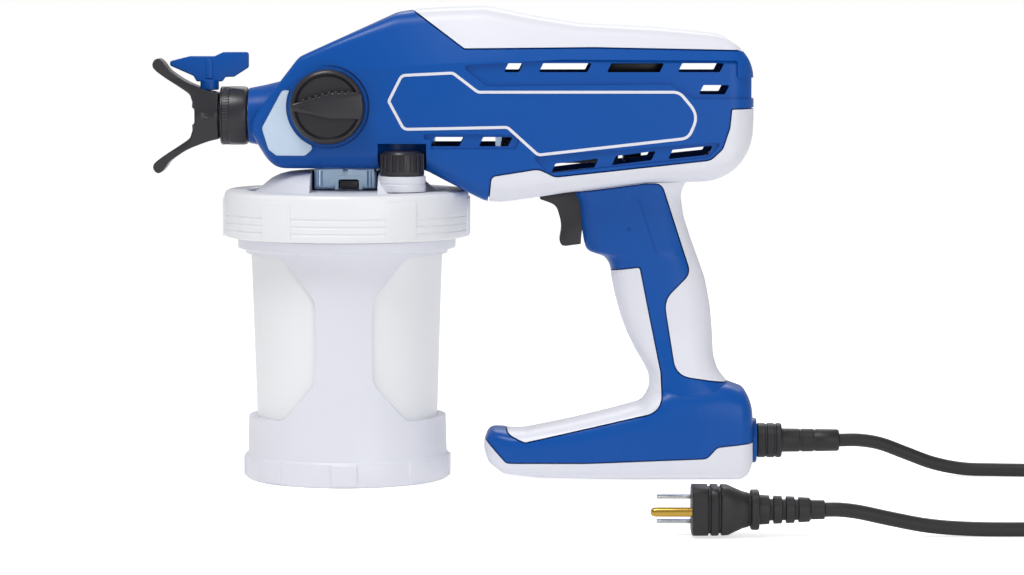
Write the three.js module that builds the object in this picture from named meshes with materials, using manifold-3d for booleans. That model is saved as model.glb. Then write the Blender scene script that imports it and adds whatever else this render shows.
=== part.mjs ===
// Hand-held airless paint sprayer, mains powered, with its cup screwed on under the pump.
// Millimetres, +Z up, the nozzle towards -X, the cup and the foot of the handle standing on Z = 0.
// The left side, with the selector knob, looks towards -Y.
import * as THREE from "three";
import { mergeVertices } from "three/addons/utils/BufferGeometryUtils.js";
import Module from "manifold-3d";

const wasm = await Module();
wasm.setup();

// ------------------------------------------------------------------ driving dimensions
// Clearances
const SEAM = 0.3; // between two mouldings, and between a piece and its seat
const RUNNING = 0.4; // round a piece that turns or slides

// Housing
const WALL = 2.5; // moulded wall
const NOZZLE_Z = 206; // height of the line through nose, guard and nozzle
const NOSE_X = -117; // front face of the nose
const NOSE_RADIUS = 15.5;
const TAIL_X = 169.5; // rearmost point of the body
const CROWN_Z = NOZZLE_Z + 63.5; // highest point, over the gears
const SHOULDER_Z = CROWN_Z - 28.5; // crease along the side, above which the body leans inwards
const SHOULDER_LEAN = 0.012; // share of the width lost per millimetre above the crease
const COVER_EDGE_Z = CROWN_Z - 21.5; // lower edge of the top cover
const PUMP_BELLY_Z = NOZZLE_Z - 27; // underside of the body over the cup
const BELLY_Z = PUMP_BELLY_Z - 8; // underside of the body over the handle
const BODY_HALF_WIDTH = 37;
const TAIL_TOP_RADIUS = 25;
const TAIL_BOTTOM_RADIUS = 30;
const TAIL_SIDE_RADIUS = 14;

// Handle and foot
const GRIP_HALF_WIDTH = 17.5;
const GUARD_HALF_WIDTH = 20; // the wider part of the handle round the trigger
const FOOT_FRONT_X = 16;
const FOOT_REAR_X = 168.5;
const CORD_FLANGE = 3; // how far the boss round the cord stands out behind the foot
const FOOT_HALF_WIDTH = 28;
const FOOT_FLAT = 1.2; // cut off the rounded underside, so that the foot stands flat

// Vents
const VENT_HEIGHT = 4.6;
const UPPER_VENT_Z = SHOULDER_Z - 3.5;
const TAIL_VENT_Z = UPPER_VENT_Z - 12.5;
const LOWER_VENT_Z = PUMP_BELLY_Z + 16.5;
const BELLY_VENT_RISE = 11; // height of the rear lower vents over the belly

// Nozzle end
const NUT_RADIUS = 16.7;
const NUT_LENGTH = 16;
const HUB_RADIUS = 13.5;
const HUB_LENGTH = 15;
const PRONG_REACH = 33; // tips of the guard above and below the nozzle line
const PRONG_HALF_WIDTH = 11;
const FITTING_RADIUS = 10; // threaded metal nose that carries nut and guard
const TIP_BARREL_RADIUS = 5;
const FLAG_HALF_LENGTH = 22.5;
const FLAG_THICKNESS = 7;

// Selector
const KNOB_X = -71;
const KNOB_Z = NOZZLE_Z + 6;
const KNOB_RADIUS = 21;
const KNOB_DEPTH = 8;
const KNOB_BAR_DEPTH = 6;
const KNOB_BAR_WIDTH = 11;
const STEM_RADIUS = 4;

// Cup
const CUP_AXIS_X = -62;
const SUPPORT_HEIGHT = PUMP_BELLY_Z - 24; // leaves room for ring and cover
const CUP_WALL = 1.6;
const CUP_FLOOR = 5.5; // height of the cup's underside
const CUP_TOP_RADIUS = 56;
const CUP_DRAW = 5.5; // how much narrower the cup is at its bottom
const CUP_BOTTOM_RADIUS = CUP_TOP_RADIUS - CUP_DRAW;
const CUP_FLANGE = 6; // width of the rim that is clamped
const SUPPORT_RADIUS = CUP_TOP_RADIUS; // outside, over the base
const SUPPORT_BASE_RADIUS = SUPPORT_RADIUS + 2;
const SUPPORT_BAND_HEIGHT = 14; // of the wider band round its base
const PAD_COUNT = 8; // raised pads round the band
const PAD_WIDTH = 14.6;
const PAD_PROUD = 0.8;
const WINDOW_SILL_Z = 36;
const WINDOW_TOP_Z = SUPPORT_HEIGHT - 24;
const COLUMN_HALF_WIDTH = 16.5; // of each of the two uprights between the windows
const COLUMN_FLARE = 18; // how much wider an upright is at its ends
const COLUMN_FLARE_HEIGHT = 20;
const HOLDER_TURN = -3.4; // degrees, where the screwed-on cup has come to rest
const RING_WALL = 7.5;
const RING_HEIGHT = 27;
const RING_LIP = 4;
const COVER_PLATE = 3;
const COVER_SEAT = 4; // height of the seat of the metal foot over the cover's rim
const COVER_DOME = 10.8; // height of the dome over that seat
const TUBE_RADIUS = 5;
const TUBE_BORE_RADIUS = 3;
const STRAINER_RADIUS = 12;
const STRAINER_HEIGHT = 10;

// Air purge cap, on the cover beside the body
const PURGE_X = 32.5; // from the cup's axis
const PURGE_Y = -34;
const PURGE_RADIUS = 12.5;
const PURGE_HEIGHT = 14;
const PURGE_COLLAR = 0.7; // how much wider the cover's collar under it is
const PURGE_TRAVEL = 3;
const PURGE_RIBS = 14;

// Pump
const BLOCK_HALF_WIDTH = 14.5;
const BLOCK_FRONT_X = -88;
const BLOCK_REAR_X = -18;
const BLOCK_BOTTOM_Z = PUMP_BELLY_Z + 8;
const BLOCK_TOP_Z = NOZZLE_Z + 15;
const CYLINDER_TOP_Z = NOZZLE_Z + 1;
const MOUNT_RADIUS = 18;
const MOUNT_NECK_RADIUS = 13;
const PISTON_X = -30;
const PISTON_RADIUS = 3.5;
const PISTON_STROKE = 12;

// Drive
const MOTOR_Z = NOZZLE_Z - 2;
const MOTOR_FRONT_X = 26;
const MOTOR_LENGTH = 66;
const MOTOR_RADIUS = 25;
const MOTOR_WALL = 2;
const SHAFT_RADIUS = 2.5;
const FAN_RADIUS = 24;
const FAN_BLADES = 7;
const FAN_WIDTH = 10;
const GEAR_MODULE = 0.96;
const PINION_TEETH = 10;
const GEAR_TEETH = 40;
const GEAR_WIDTH = 6;
const PLATE_THICKNESS = 3;
const CRANK_RADIUS = 11;
const CRANK_PIN_RADIUS = 3;

// Trigger
const TRIGGER_HALF_WIDTH = 8.5;
const PIVOT_X = 78;
const PIVOT_Z = BELLY_Z - 13;
const PIN_RADIUS = 1.8;

// Cord, with its relief and plug
const CORD_RADIUS = 3.75;
const CORD_EXIT_Z = 20.5;
const RELIEF_LENGTH = 47;
const RELIEF_COLLAR = 14; // length of its wider end
const RELIEF_RADIUS = 9.8;
const SLEEVE_RADIUS = 6.7;
const PLUG_X = 123.4; // face of the plug
const PLUG_Y = -240;
const PLUG_Z = 13.6;
const PLUG_LENGTH = 40;
const BLADE_SPACING = 12.7;
const BLADE_LENGTH = 17.5;
const BLADE_WIDTH = 6.35;
const BLADE_THICKNESS = 1.5;
const EARTH_PIN_OFFSET = 11.9;
const EARTH_PIN_RADIUS = 2.4;
const EARTH_PIN_LENGTH = 21;

// ------------------------------------------------------------------ finishes
const finish = (color, roughness, metalness = 0, opacity = 1) =>
  new THREE.MeshStandardMaterial({ color, roughness, metalness, opacity, transparent: opacity < 1 });
const BLUE = finish(0x1450a3, 0.35);
const WHITE = finish(0xf1f2f4, 0.4);
const PALE_GREY = finish(0xd5dae0, 0.45);
const BLACK = finish(0x141517, 0.5);
const RUBBER = finish(0x1a1a1c, 0.8);
const CLEAR = finish(0xeef2f6, 0.25, 0, 0.5);
const MILKY = finish(0xe8ecef, 0.4);
const STEEL = finish(0xb9bcc0, 0.3, 1);
const CAST = finish(0xa9bccb, 0.4, 0.8);
const BRASS = finish(0xc9a353, 0.3, 1);
const BOARD = finish(0x1d6b3c, 0.5);
const NYLON = finish(0xe4dfcf, 0.5);

// ------------------------------------------------------------------ solids from geometry
// A closed geometry as a solid, with shared corners merged and its faces pointing out.
function solid(geometry) {
  const bare = geometry.index ? geometry.toNonIndexed() : geometry.clone();
  bare.deleteAttribute("normal");
  bare.deleteAttribute("uv");
  const merged = mergeVertices(bare, 1e-3);
  const triangles = [];
  for (let i = 0; i < merged.index.count; i += 3) {
    const [a, b, c] = [0, 1, 2].map((k) => merged.index.getX(i + k));
    if (a !== b && b !== c && c !== a) triangles.push(a, b, c);
  }
  const make = (triVerts) =>
    new wasm.Manifold(
      new wasm.Mesh({
        numProp: 3,
        vertProperties: new Float32Array(merged.attributes.position.array),
        triVerts: new Uint32Array(triVerts),
      }),
    );
  const made = make(triangles);
  return made.volume() < 0 ? make(triangles.reverse()) : made;
}

function toMesh(name, body, material) {
  const { numProp, vertProperties, triVerts } = body.getMesh();
  const positions = new Float32Array((vertProperties.length / numProp) * 3);
  for (let i = 0; i < positions.length / 3; i++) {
    positions.set(vertProperties.subarray(i * numProp, i * numProp + 3), i * 3);
  }
  const geometry = new THREE.BufferGeometry()
    .setAttribute("position", new THREE.BufferAttribute(positions, 3))
    .setIndex(new THREE.BufferAttribute(new Uint32Array(triVerts), 1));
  geometry.computeVertexNormals();
  const mesh = new THREE.Mesh(geometry, material);
  mesh.name = name;
  return mesh;
}

const joined = (parts) => parts.reduce((sum, part) => sum.add(part));
const at = (body, x, y, z) => body.translate([x, y, z]);

// A closed skin through rings that have the same number of points, with a fan on each end.
function skin(rings) {
  const count = rings[0].length;
  const positions = rings.flat().flatMap((p) => [p.x, p.y, p.z]);
  const index = [];
  for (let r = 0; r + 1 < rings.length; r++) {
    for (let i = 0; i < count; i++) {
      const [a, b] = [r * count + i, r * count + ((i + 1) % count)];
      index.push(a, b, b + count, a, b + count, a + count);
    }
  }
  for (const [ring, start, flip] of [
    [rings[0], 0, true],
    [rings.at(-1), (rings.length - 1) * count, false],
  ]) {
    const centre = ring.reduce((sum, p) => sum.add(p), new THREE.Vector3()).divideScalar(count);
    const hub = positions.length / 3;
    positions.push(centre.x, centre.y, centre.z);
    for (let i = 0; i < count; i++) {
      const [a, b] = [start + i, start + ((i + 1) % count)];
      index.push(...(flip ? [hub, b, a] : [hub, a, b]));
    }
  }
  const geometry = new THREE.BufferGeometry()
    .setAttribute("position", new THREE.Float32BufferAttribute(positions, 3))
    .setIndex(index);
  return solid(geometry);
}

// A side view outline, as [x, z] points or a Shape, given a thickness from y0 to y1.
function plateXZ(outline, y0, y1) {
  const corners = () => outline.map(([x, z]) => new THREE.Vector2(x, z));
  const shape = outline instanceof THREE.Shape ? outline : new THREE.Shape(corners());
  const options = { depth: y1 - y0, bevelEnabled: false, curveSegments: 4 };
  const geometry = new THREE.ExtrudeGeometry(shape, options);
  return at(solid(geometry.rotateX(Math.PI / 2)), 0, y1, 0);
}

const box = (x0, x1, y0, y1, z0, z1) =>
  at(
    solid(new THREE.BoxGeometry(x1 - x0, y1 - y0, z1 - z0)),
    (x0 + x1) / 2,
    (y0 + y1) / 2,
    (z0 + z1) / 2,
  );

// A rod from one end to the other along X, Y or Z.
function rod(axis, radius, from, to, centre, segments = 14) {
  const geometry = new THREE.CylinderGeometry(radius, radius, to - from, segments);
  if (axis === "x") geometry.rotateZ(-Math.PI / 2);
  if (axis === "z") geometry.rotateX(Math.PI / 2);
  const middle = (from + to) / 2;
  const [a, b] = centre;
  const place = { x: [middle, a, b], y: [a, middle, b], z: [a, b, middle] }[axis];
  return at(solid(geometry), ...place);
}

// A turned piece: [radius, height] points revolved about the vertical.
const turned = (profile, segments = 24) =>
  solid(
    new THREE.LatheGeometry(
      profile.map(([r, h]) => new THREE.Vector2(r, h)),
      segments,
    ).rotateX(Math.PI / 2),
  );

// An outline moved out by a gap, each corner along its own bisector.
function offset(outline, gap) {
  const winding = outline.reduce((sum, [x, z], i) => {
    const [u, w] = outline[(i + 1) % outline.length];
    return sum + x * w - u * z;
  }, 0);
  const out = Math.sign(winding) * gap;
  return outline.map(([x, z], i) => {
    const before = outline.at(i - 1);
    const after = outline[(i + 1) % outline.length];
    const [a, b] = [
      [x - before[0], z - before[1]],
      [after[0] - x, after[1] - z],
    ].map(([u, w]) => [w / Math.hypot(u, w), -u / Math.hypot(u, w)]);
    const share = out / (1 + a[0] * b[0] + a[1] * b[1]);
    return [x + (a[0] + b[0]) * share, z + (a[1] + b[1]) * share];
  });
}

// A curve through [t, value] points with straight runs and its corners eased over a reach.
function eased(points, reach) {
  const straight = (t) => {
    const i = Math.max(1, points.findIndex(([u]) => u >= t));
    const [a, b] = t > points.at(-1)[0] ? points.slice(-2) : [points[i - 1], points[i]];
    return a[1] + ((b[1] - a[1]) * (t - a[0])) / (b[0] - a[0]);
  };
  const samples = 8;
  return (t) => {
    let sum = 0;
    for (let i = 0; i <= samples; i++) sum += straight(t + reach * ((2 * i) / samples - 1));
    return sum / (samples + 1);
  };
}

// How far a surface has drawn in, when it rounds over by a radius and ends at a limit.
const rounding = (distance, radius) =>
  distance >= radius ? 0 : radius - Math.sqrt(Math.max(0, radius ** 2 - (radius - distance) ** 2));

const slope = (f, t) => f(t + 0.5) - f(t - 0.5);

// A ring of points on a squared ellipse; up and out are its half sizes.
function squircle(count, power, up, out, place) {
  const ring = [];
  for (let i = 0; i < count; i++) {
    const angle = ((i + 0.5) / count) * 2 * Math.PI;
    const [c, s] = [Math.cos(angle), Math.sin(angle)];
    const pull = (value) => Math.sign(value) * Math.abs(value) ** (2 / power);
    ring.push(place(out * pull(c), up * pull(s)));
  }
  return ring;
}

const range = (from, to, count) =>
  Array.from({ length: count }, (_, i) => from + ((to - from) * i) / (count - 1));

// ------------------------------------------------------------------ housing
// Side view of the body: its upper and lower edge, and half its width, along X.
const bodyTop = eased(
  [
    [NOSE_X, NOZZLE_Z + NOSE_RADIUS],
    [NOSE_X + 21, NOZZLE_Z + NOSE_RADIUS + 4.5],
    [NOSE_X + 31, CROWN_Z - 29],
    [-32, CROWN_Z - 4],
    [-5, CROWN_Z - 1],
    [21, CROWN_Z],
    [46, CROWN_Z - 6.5],
    [70, CROWN_Z - 10.5],
    [112, CROWN_Z - 13],
    [156, CROWN_Z - 16],
    [TAIL_X, CROWN_Z - 17.5],
  ],
  4,
);
const bodyBottom = eased(
  [
    [NOSE_X, NOZZLE_Z - NOSE_RADIUS],
    [NOSE_X + 6, PUMP_BELLY_Z + 7],
    [NOSE_X + 11, PUMP_BELLY_Z + 1],
    [NOSE_X + 17, PUMP_BELLY_Z],
    [CUP_AXIS_X + 43, PUMP_BELLY_Z],
    [17, BELLY_Z - 7.5],
    [27, BELLY_Z - 10],
    [60, BELLY_Z - 5],
    [110, BELLY_Z],
    [TAIL_X, BELLY_Z],
  ],
  3,
);
const bodyHalfWidth = eased(
  [
    [NOSE_X, NOSE_RADIUS],
    [NOSE_X + 18, NOSE_RADIUS + 6],
    [NOSE_X + 34, BODY_HALF_WIDTH - 8],
    [-45, BODY_HALF_WIDTH - 3],
    [-5, BODY_HALF_WIDTH],
    [100, BODY_HALF_WIDTH],
    [TAIL_X, BODY_HALF_WIDTH - 3],
  ],
  6,
);
const bodyPower = eased(
  [
    [NOSE_X, 2],
    [NOSE_X + 20, 2.5],
    [-50, 3.2],
    [TAIL_X, 3.4],
  ],
  4,
);

// The body's skin, or the surface that lies a wall's thickness inside it.
function bodySkin(wall, nose = NOSE_X + wall) {
  const fine = wall <= 0;
  const top = (x) => bodyTop(x) - rounding(TAIL_X - x, TAIL_TOP_RADIUS);
  const bottom = (x) => bodyBottom(x) + rounding(TAIL_X - x, TAIL_BOTTOM_RADIUS);
  const side = (x) => bodyHalfWidth(x) - rounding(TAIL_X - x, TAIL_SIDE_RADIUS);
  const inset = (f, x) => wall * Math.min(2, Math.hypot(1, slope(f, x)));
  const tail = TAIL_X - wall;
  const stations = [
    ...range(nose, NOSE_X + 34, fine ? 6 : 3),
    -32,
    -5,
    21,
    46,
    ...(fine ? [70, 112] : [90]),
    ...range(TAIL_X - TAIL_BOTTOM_RADIUS, tail, fine ? 5 : 3),
  ];
  return skin(
    stations.map((x) => {
      const [high, low] = [top(x) - inset(top, x), bottom(x) + inset(bottom, x)];
      const place = (y, rise) => {
        const z = (high + low) / 2 + rise;
        return new THREE.Vector3(x, y * (1 - SHOULDER_LEAN * Math.max(0, z - SHOULDER_Z)), z);
      };
      const half = side(x) - inset(side, x);
      return squircle(fine ? 16 : 8, bodyPower(x), (high - low) / 2, half, place);
    }),
  );
}

// Handle: its front and rear edge, and half its width, by height.
const HANDLE_TOP_Z = BELLY_Z + 2;
const HANDLE_BOTTOM_Z = 30;
const handleFront = eased(
  [
    [HANDLE_BOTTOM_Z, 104],
    [46, 108],
    [57, 111],
    [66, 107],
    [78, 101],
    [92, 94.5],
    [BELLY_Z - 61, 89.5],
    [BELLY_Z - 50, 88],
    [BELLY_Z - 43, 85],
    [BELLY_Z - 39, 74],
    [BELLY_Z - 34, 71.5],
    [BELLY_Z - 14, 70],
    [HANDLE_TOP_Z, 62],
  ],
  2,
);
const handleRear = eased(
  [
    [HANDLE_BOTTOM_Z, 164],
    [50, 159],
    [56, 154],
    [62, 150],
    [70, 146.5],
    [90, 144],
    [BELLY_Z - 62, 140.5],
    [BELLY_Z - 46, 136],
    [BELLY_Z - 34, 131.5],
    [BELLY_Z - 23, 128.5],
    [BELLY_Z - 11, 128.5],
    [HANDLE_TOP_Z, 134],
  ],
  3,
);
const handleHalfWidth = eased(
  [
    [HANDLE_BOTTOM_Z, FOOT_HALF_WIDTH - 2],
    [50, FOOT_HALF_WIDTH - 4],
    [65, GRIP_HALF_WIDTH + 2.5],
    [80, GRIP_HALF_WIDTH],
    [BELLY_Z - 56, GRIP_HALF_WIDTH],
    [BELLY_Z - 33, GUARD_HALF_WIDTH],
    [HANDLE_TOP_Z, GUARD_HALF_WIDTH + 3],
  ],
  5,
);

function handleSkin(wall) {
  const levels = range(HANDLE_BOTTOM_Z, HANDLE_TOP_Z, wall > 0 ? 6 : 11);
  return skin(
    levels.map((z) => {
      const front = handleFront(z) + wall * Math.hypot(1, slope(handleFront, z));
      const rear = handleRear(z) - wall * Math.hypot(1, slope(handleRear, z));
      const place = (y, x) => new THREE.Vector3((front + rear) / 2 + x, y, z);
      const half = handleHalfWidth(z) - wall;
      return squircle(wall > 0 ? 8 : 14, 2.6, (rear - front) / 2, half, place);
    }),
  );
}

// Foot: its upper edge and half its width along X; its underside is flat.
const footTop = eased(
  [
    [FOOT_FRONT_X, 27],
    [FOOT_FRONT_X + 5, 31],
    [29, 31.5],
    [40, 29.5],
    [66, 36],
    [90, 42],
    [106, 46],
    [120, 56],
    [152, 56],
    [160, 53],
    [166, 48],
    [FOOT_REAR_X, 42],
  ],
  2.5,
);
const footHalfWidth = eased(
  [
    [FOOT_FRONT_X, FOOT_HALF_WIDTH - 11],
    [FOOT_FRONT_X + 14, FOOT_HALF_WIDTH - 5],
    [80, FOOT_HALF_WIDTH - 1],
    [140, FOOT_HALF_WIDTH],
    [FOOT_REAR_X, FOOT_HALF_WIDTH - 3],
  ],
  4,
);
const FOOT_TIP_RADIUS = 8;
const FOOT_HEEL_RADIUS = 5;

function footSkin(wall) {
  const stations = [
    ...range(FOOT_FRONT_X + wall, FOOT_FRONT_X + FOOT_TIP_RADIUS, wall > 0 ? 2 : 3),
    31,
    40,
    66,
    90,
    106,
    120,
    150,
    ...range(FOOT_REAR_X - 8, FOOT_REAR_X - wall, wall > 0 ? 2 : 3),
  ];
  return skin(
    stations.map((x) => {
      const tip = rounding(x - FOOT_FRONT_X, FOOT_TIP_RADIUS);
      const heel = rounding(FOOT_REAR_X - x, FOOT_HEEL_RADIUS);
      const high = footTop(x) - tip / 3 - heel / 2 - wall * Math.hypot(1, slope(footTop, x));
      const low = tip * 1.4 + heel + wall + (wall ? FOOT_FLAT : 0) - FOOT_FLAT;
      const side = footHalfWidth(x) - tip / 2 - heel - wall;
      const place = (y, z) => new THREE.Vector3(x, y, (high + low) / 2 + z);
      return squircle(wall > 0 ? 8 : 14, 3.6, (high - low) / 2, side, place);
    }),
  );
}

// Places that several pieces share.
const NUT_REAR_X = NOSE_X - SEAM;
const NUT_FRONT_X = NUT_REAR_X - NUT_LENGTH;
const HUB_REAR_X = NUT_FRONT_X - SEAM;
const HUB_FRONT_X = HUB_REAR_X - HUB_LENGTH;
const TIP_X = HUB_REAR_X - TIP_BARREL_RADIUS - 1;
const FITTING_FRONT_X = TIP_X + TIP_BARREL_RADIUS + 1;
const GEAR_Z = MOTOR_Z + (GEAR_MODULE * (PINION_TEETH + GEAR_TEETH)) / 2;
const REAR_PLATE_X = MOTOR_FRONT_X - SEAM - PLATE_THICKNESS; // the plate that carries the motor
const GEAR_FRONT_X = REAR_PLATE_X - 1 - GEAR_WIDTH;
const CRANK_REAR_X = PISTON_X + 13;
const FRONT_PLATE_X = CRANK_REAR_X + 2;
const BOSS_RADIUS = KNOB_RADIUS + 1; // raised seat of the selector knob
const BOSS_Y = -32.3;
const COVER_LOW_Z = SUPPORT_HEIGHT + SEAM + CUP_WALL + SEAM;
const COVER_SEAT_Z = COVER_LOW_Z + COVER_PLATE + COVER_SEAT;
const COVER_TOP_Z = COVER_SEAT_Z + COVER_DOME;
const RING_TOP_Z = COVER_LOW_Z + COVER_PLATE + SEAM + RING_LIP;
const PURGE_Z = COVER_TOP_Z + 1; // underside of the purge cap
const PURGE_PLACE = [CUP_AXIS_X + PURGE_X, PURGE_Y];
const POCKET_RADIUS = PURGE_RADIUS + 1.2;
const POCKET_TOP_Z = PURGE_Z + PURGE_HEIGHT + PURGE_TRAVEL + 1;
const SWITCH_FRONT_X = 92;
const SWITCH_Z = PIVOT_Z - 10;
const SWITCH_HALF_WIDTH = 8;
const SWITCH_HALF_HEIGHT = 10;
const ACROSS = 80; // half length of a cutter that runs right through from side to side

// The pump block before its bores.
function blockBlank(gap = 0) {
  const outline = [
    [BLOCK_FRONT_X - gap, BLOCK_BOTTOM_Z - gap],
    [BLOCK_REAR_X + gap, BLOCK_BOTTOM_Z - gap],
    [BLOCK_REAR_X + gap, CYLINDER_TOP_Z + gap],
    [CUP_AXIS_X + 16 + gap, CYLINDER_TOP_Z + gap],
    [CUP_AXIS_X + 10 + gap, BLOCK_TOP_Z + gap],
    [BLOCK_FRONT_X - gap, BLOCK_TOP_Z + gap],
  ];
  return plateXZ(outline, -BLOCK_HALF_WIDTH - gap, BLOCK_HALF_WIDTH + gap);
}

// Side view areas of the white mouldings; what they leave is blue.
const coverOutline = [
  [-23.5, CROWN_Z - 1],
  [5, COVER_EDGE_Z],
  [79, COVER_EDGE_Z + 0.8],
  [TAIL_X + 20, COVER_EDGE_Z - 1],
  [TAIL_X + 20, CROWN_Z + 20],
  [-23.5, CROWN_Z + 20],
];
const bellyOutline = [
  [16, BELLY_Z - 30],
  [19.3, BELLY_Z - 8],
  [21, BELLY_Z + 4.4],
  [47, BELLY_Z + 8.3],
  [56.5, BELLY_Z + 3.8],
  [145, BELLY_Z + 13.4],
  [151, BELLY_Z + 19],
  [155.5, BELLY_Z + 29],
  [157, BELLY_Z + 42],
  [TAIL_X + 20, BELLY_Z + 43],
  [TAIL_X + 20, BELLY_Z - 30],
];
const area = (outline, gap = 0) => plateXZ(gap ? offset(outline, gap) : outline, -ACROSS, ACROSS);

// Each vent as its ends along X and its height.
const ventPlaces = [
  [28.5, 38, UPPER_VENT_Z],
  [48, 77, UPPER_VENT_Z],
  [86.5, 118, UPPER_VENT_Z],
  [127, 152, UPPER_VENT_Z],
  [138.5, 155, TAIL_VENT_Z],
  [-13.5, 4.5, LOWER_VENT_Z],
  [14, 32, LOWER_VENT_Z],
  [54.5, 81, BELLY_Z + BELLY_VENT_RISE],
  [89, 113.5, BELLY_Z + BELLY_VENT_RISE + 3.8],
  [121, 145, BELLY_Z + BELLY_VENT_RISE + 7],
];

function vents() {
  const lean = VENT_HEIGHT / 2;
  const slots = ventPlaces.map(([front, rear, z]) => {
    const climb = z > BELLY_Z + BELLY_VENT_RISE + VENT_HEIGHT * 2 ? 0 : 1.5;
    return plateXZ(
      [
        [front, z - lean - climb],
        [rear - lean, z - lean + climb],
        [rear, z + lean + climb],
        [front + lean, z + lean - climb],
      ],
      -ACROSS,
      ACROSS,
    );
  });
  return joined(slots);
}

// The body's moulded wall with its cradles for pump and motor and all its openings.
const outerBody = bodySkin(0)
  .subtract(rod("y", BOSS_RADIUS + 0.5, -ACROSS, BOSS_Y, [KNOB_X, KNOB_Z], 28))
  .add(rod("y", BOSS_RADIUS, BOSS_Y, -12, [KNOB_X, KNOB_Z], 28));
const innerBody = bodySkin(WALL);
const roomForPlates = bodySkin(WALL + SEAM);

function bodyWalls() {
  const cradle = (x) => box(x, x + WALL, -ACROSS, ACROSS, 100, 300).intersect(bodySkin(WALL / 2));
  const motorCradles = [MOTOR_FRONT_X + 8, MOTOR_FRONT_X + MOTOR_LENGTH - 12].map(cradle);
  const pumpCradles = [BLOCK_FRONT_X + 9, BLOCK_REAR_X - 9].map(cradle);
  const yokeRoom = box(PISTON_X - 6, 0, -16, 16, CYLINDER_TOP_Z, GEAR_Z + 18);
  const cradles = joined(motorCradles)
    .subtract(rod("x", MOTOR_RADIUS + SEAM, MOTOR_FRONT_X, MOTOR_FRONT_X + MOTOR_LENGTH, [0, MOTOR_Z], 24))
    .add(joined(pumpCradles).subtract(blockBlank(SEAM)).subtract(yokeRoom));
  const pocket = rod("z", POCKET_RADIUS, PUMP_BELLY_Z - 10, POCKET_TOP_Z, PURGE_PLACE, 20);
  const pocketWall = rod("z", POCKET_RADIUS + WALL, PUMP_BELLY_Z - 10, POCKET_TOP_Z + WALL, PURGE_PLACE, 20)
    .intersect(bodySkin(WALL / 2));
  const openings = joined([
    rod("x", FITTING_RADIUS + SEAM, NOSE_X - 10, BLOCK_FRONT_X + 6, [0, NOZZLE_Z], 20),
    rod("z", MOUNT_NECK_RADIUS + SEAM, PUMP_BELLY_Z - 10, BLOCK_BOTTOM_Z, [CUP_AXIS_X, 0], 28),
    rod("y", STEM_RADIUS + RUNNING, -ACROSS, -BLOCK_HALF_WIDTH, [KNOB_X, KNOB_Z]),
    box(96, 120, -8, 8, BELLY_Z - 10, BELLY_Z + WALL + 3), // way of the leads from the handle
    pocket,
    vents(),
  ]);
  return outerBody.subtract(innerBody).add(cradles).add(pocketWall).subtract(openings);
}

const cordAxis = [0, CORD_EXIT_Z];
const cordBoss = rod("x", RELIEF_RADIUS + 3, FOOT_REAR_X - 10, FOOT_REAR_X + CORD_FLANGE, cordAxis, 20);
const outerHandle = handleSkin(0)
  .add(footSkin(0))
  .add(cordBoss)
  .subtract(box(-20, 200, -ACROSS, ACROSS, -20, 0));
const GRIP_WALL = WALL + 0.5;

// The wall of handle and foot, with its trigger slot, pivot bosses, switch bed and board posts.
const BOARD_Z = 20;
const POST_X = [78, 134];
const POST_Y = 12;
function handleWalls() {
  const inner = handleSkin(GRIP_WALL).add(footSkin(GRIP_WALL));
  const [pivot, room] = [[PIVOT_X, PIVOT_Z], TRIGGER_HALF_WIDTH + RUNNING];
  const boss = rod("y", PIN_RADIUS + 2.7, -GUARD_HALF_WIDTH - 1, GUARD_HALF_WIDTH + 1, pivot).subtract(
    box(PIVOT_X - 9, PIVOT_X + 9, -room, room, PIVOT_Z - 28, BELLY_Z + 9),
  );
  const [bedFront, bedRear] = [SWITCH_FRONT_X + 4, SWITCH_FRONT_X + 22];
  const bed = (z, rise) => box(bedFront, bedRear, -ACROSS, ACROSS, z, z + rise).intersect(outerHandle);
  const beds = bed(SWITCH_Z - SWITCH_HALF_HEIGHT - SEAM - WALL, WALL).add(
    bed(SWITCH_Z + SWITCH_HALF_HEIGHT + SEAM, 1.8),
  );
  const slot = box(PIVOT_X - 26, PIVOT_X + 8, -room, room, PIVOT_Z - 27, BELLY_Z + 9);
  const pinHole = rod("y", PIN_RADIUS + SEAM, -16, 16, pivot, 12);
  const cordHole = rod("x", SLEEVE_RADIUS + SEAM, FOOT_REAR_X - 20, FOOT_REAR_X + 10, cordAxis, 12);
  return outerHandle
    .subtract(inner)
    .add(boss)
    .add(beds)
    .subtract(joined([slot, pinHole, cordHole]))
    .subtract(bodySkin(-SEAM));
}

// Areas of the grips and of the foot's base in side view.
const frontGripOutline = [
  [60, BELLY_Z - 49],
  [105, BELLY_Z - 47],
  [109.5, 99],
  [115.5, 68],
  [117, 54],
  [115.5, 47],
  [111, 42],
  [103, 38.8],
  [37, 22.6],
  [31, 26],
  [26, 34],
  [30, 60],
];
const rearGripOutline = [
  [61, BELLY_Z - 6],
  [95, BELLY_Z - 1.5],
  [113, BELLY_Z - 0.5],
  [118, BELLY_Z - 5],
  [132.5, BELLY_Z - 48],
  [129, BELLY_Z - 56],
  [121, BELLY_Z - 64],
  [119.4, BELLY_Z - 72],
  [124.3, 68],
  [128, 62.5],
  [134, 60],
  [160, 56.5],
  [170, 60],
  [170, BELLY_Z + 10],
  [61, BELLY_Z + 10],
];
const footBaseOutline = [
  [0, 38],
  [16.5, 23],
  [30, 10.8],
  [78, 11.2],
  [141, 13.5],
  [146.4, 15.5],
  [150.5, 19.5],
  [180, 23],
  [180, -10],
  [0, -10],
];

const leftSide = box(-300, 300, -ACROSS, -SEAM / 2, -50, CROWN_Z + 50);
const rightSide = box(-300, 300, SEAM / 2, ACROSS, -50, CROWN_Z + 50);

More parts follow.
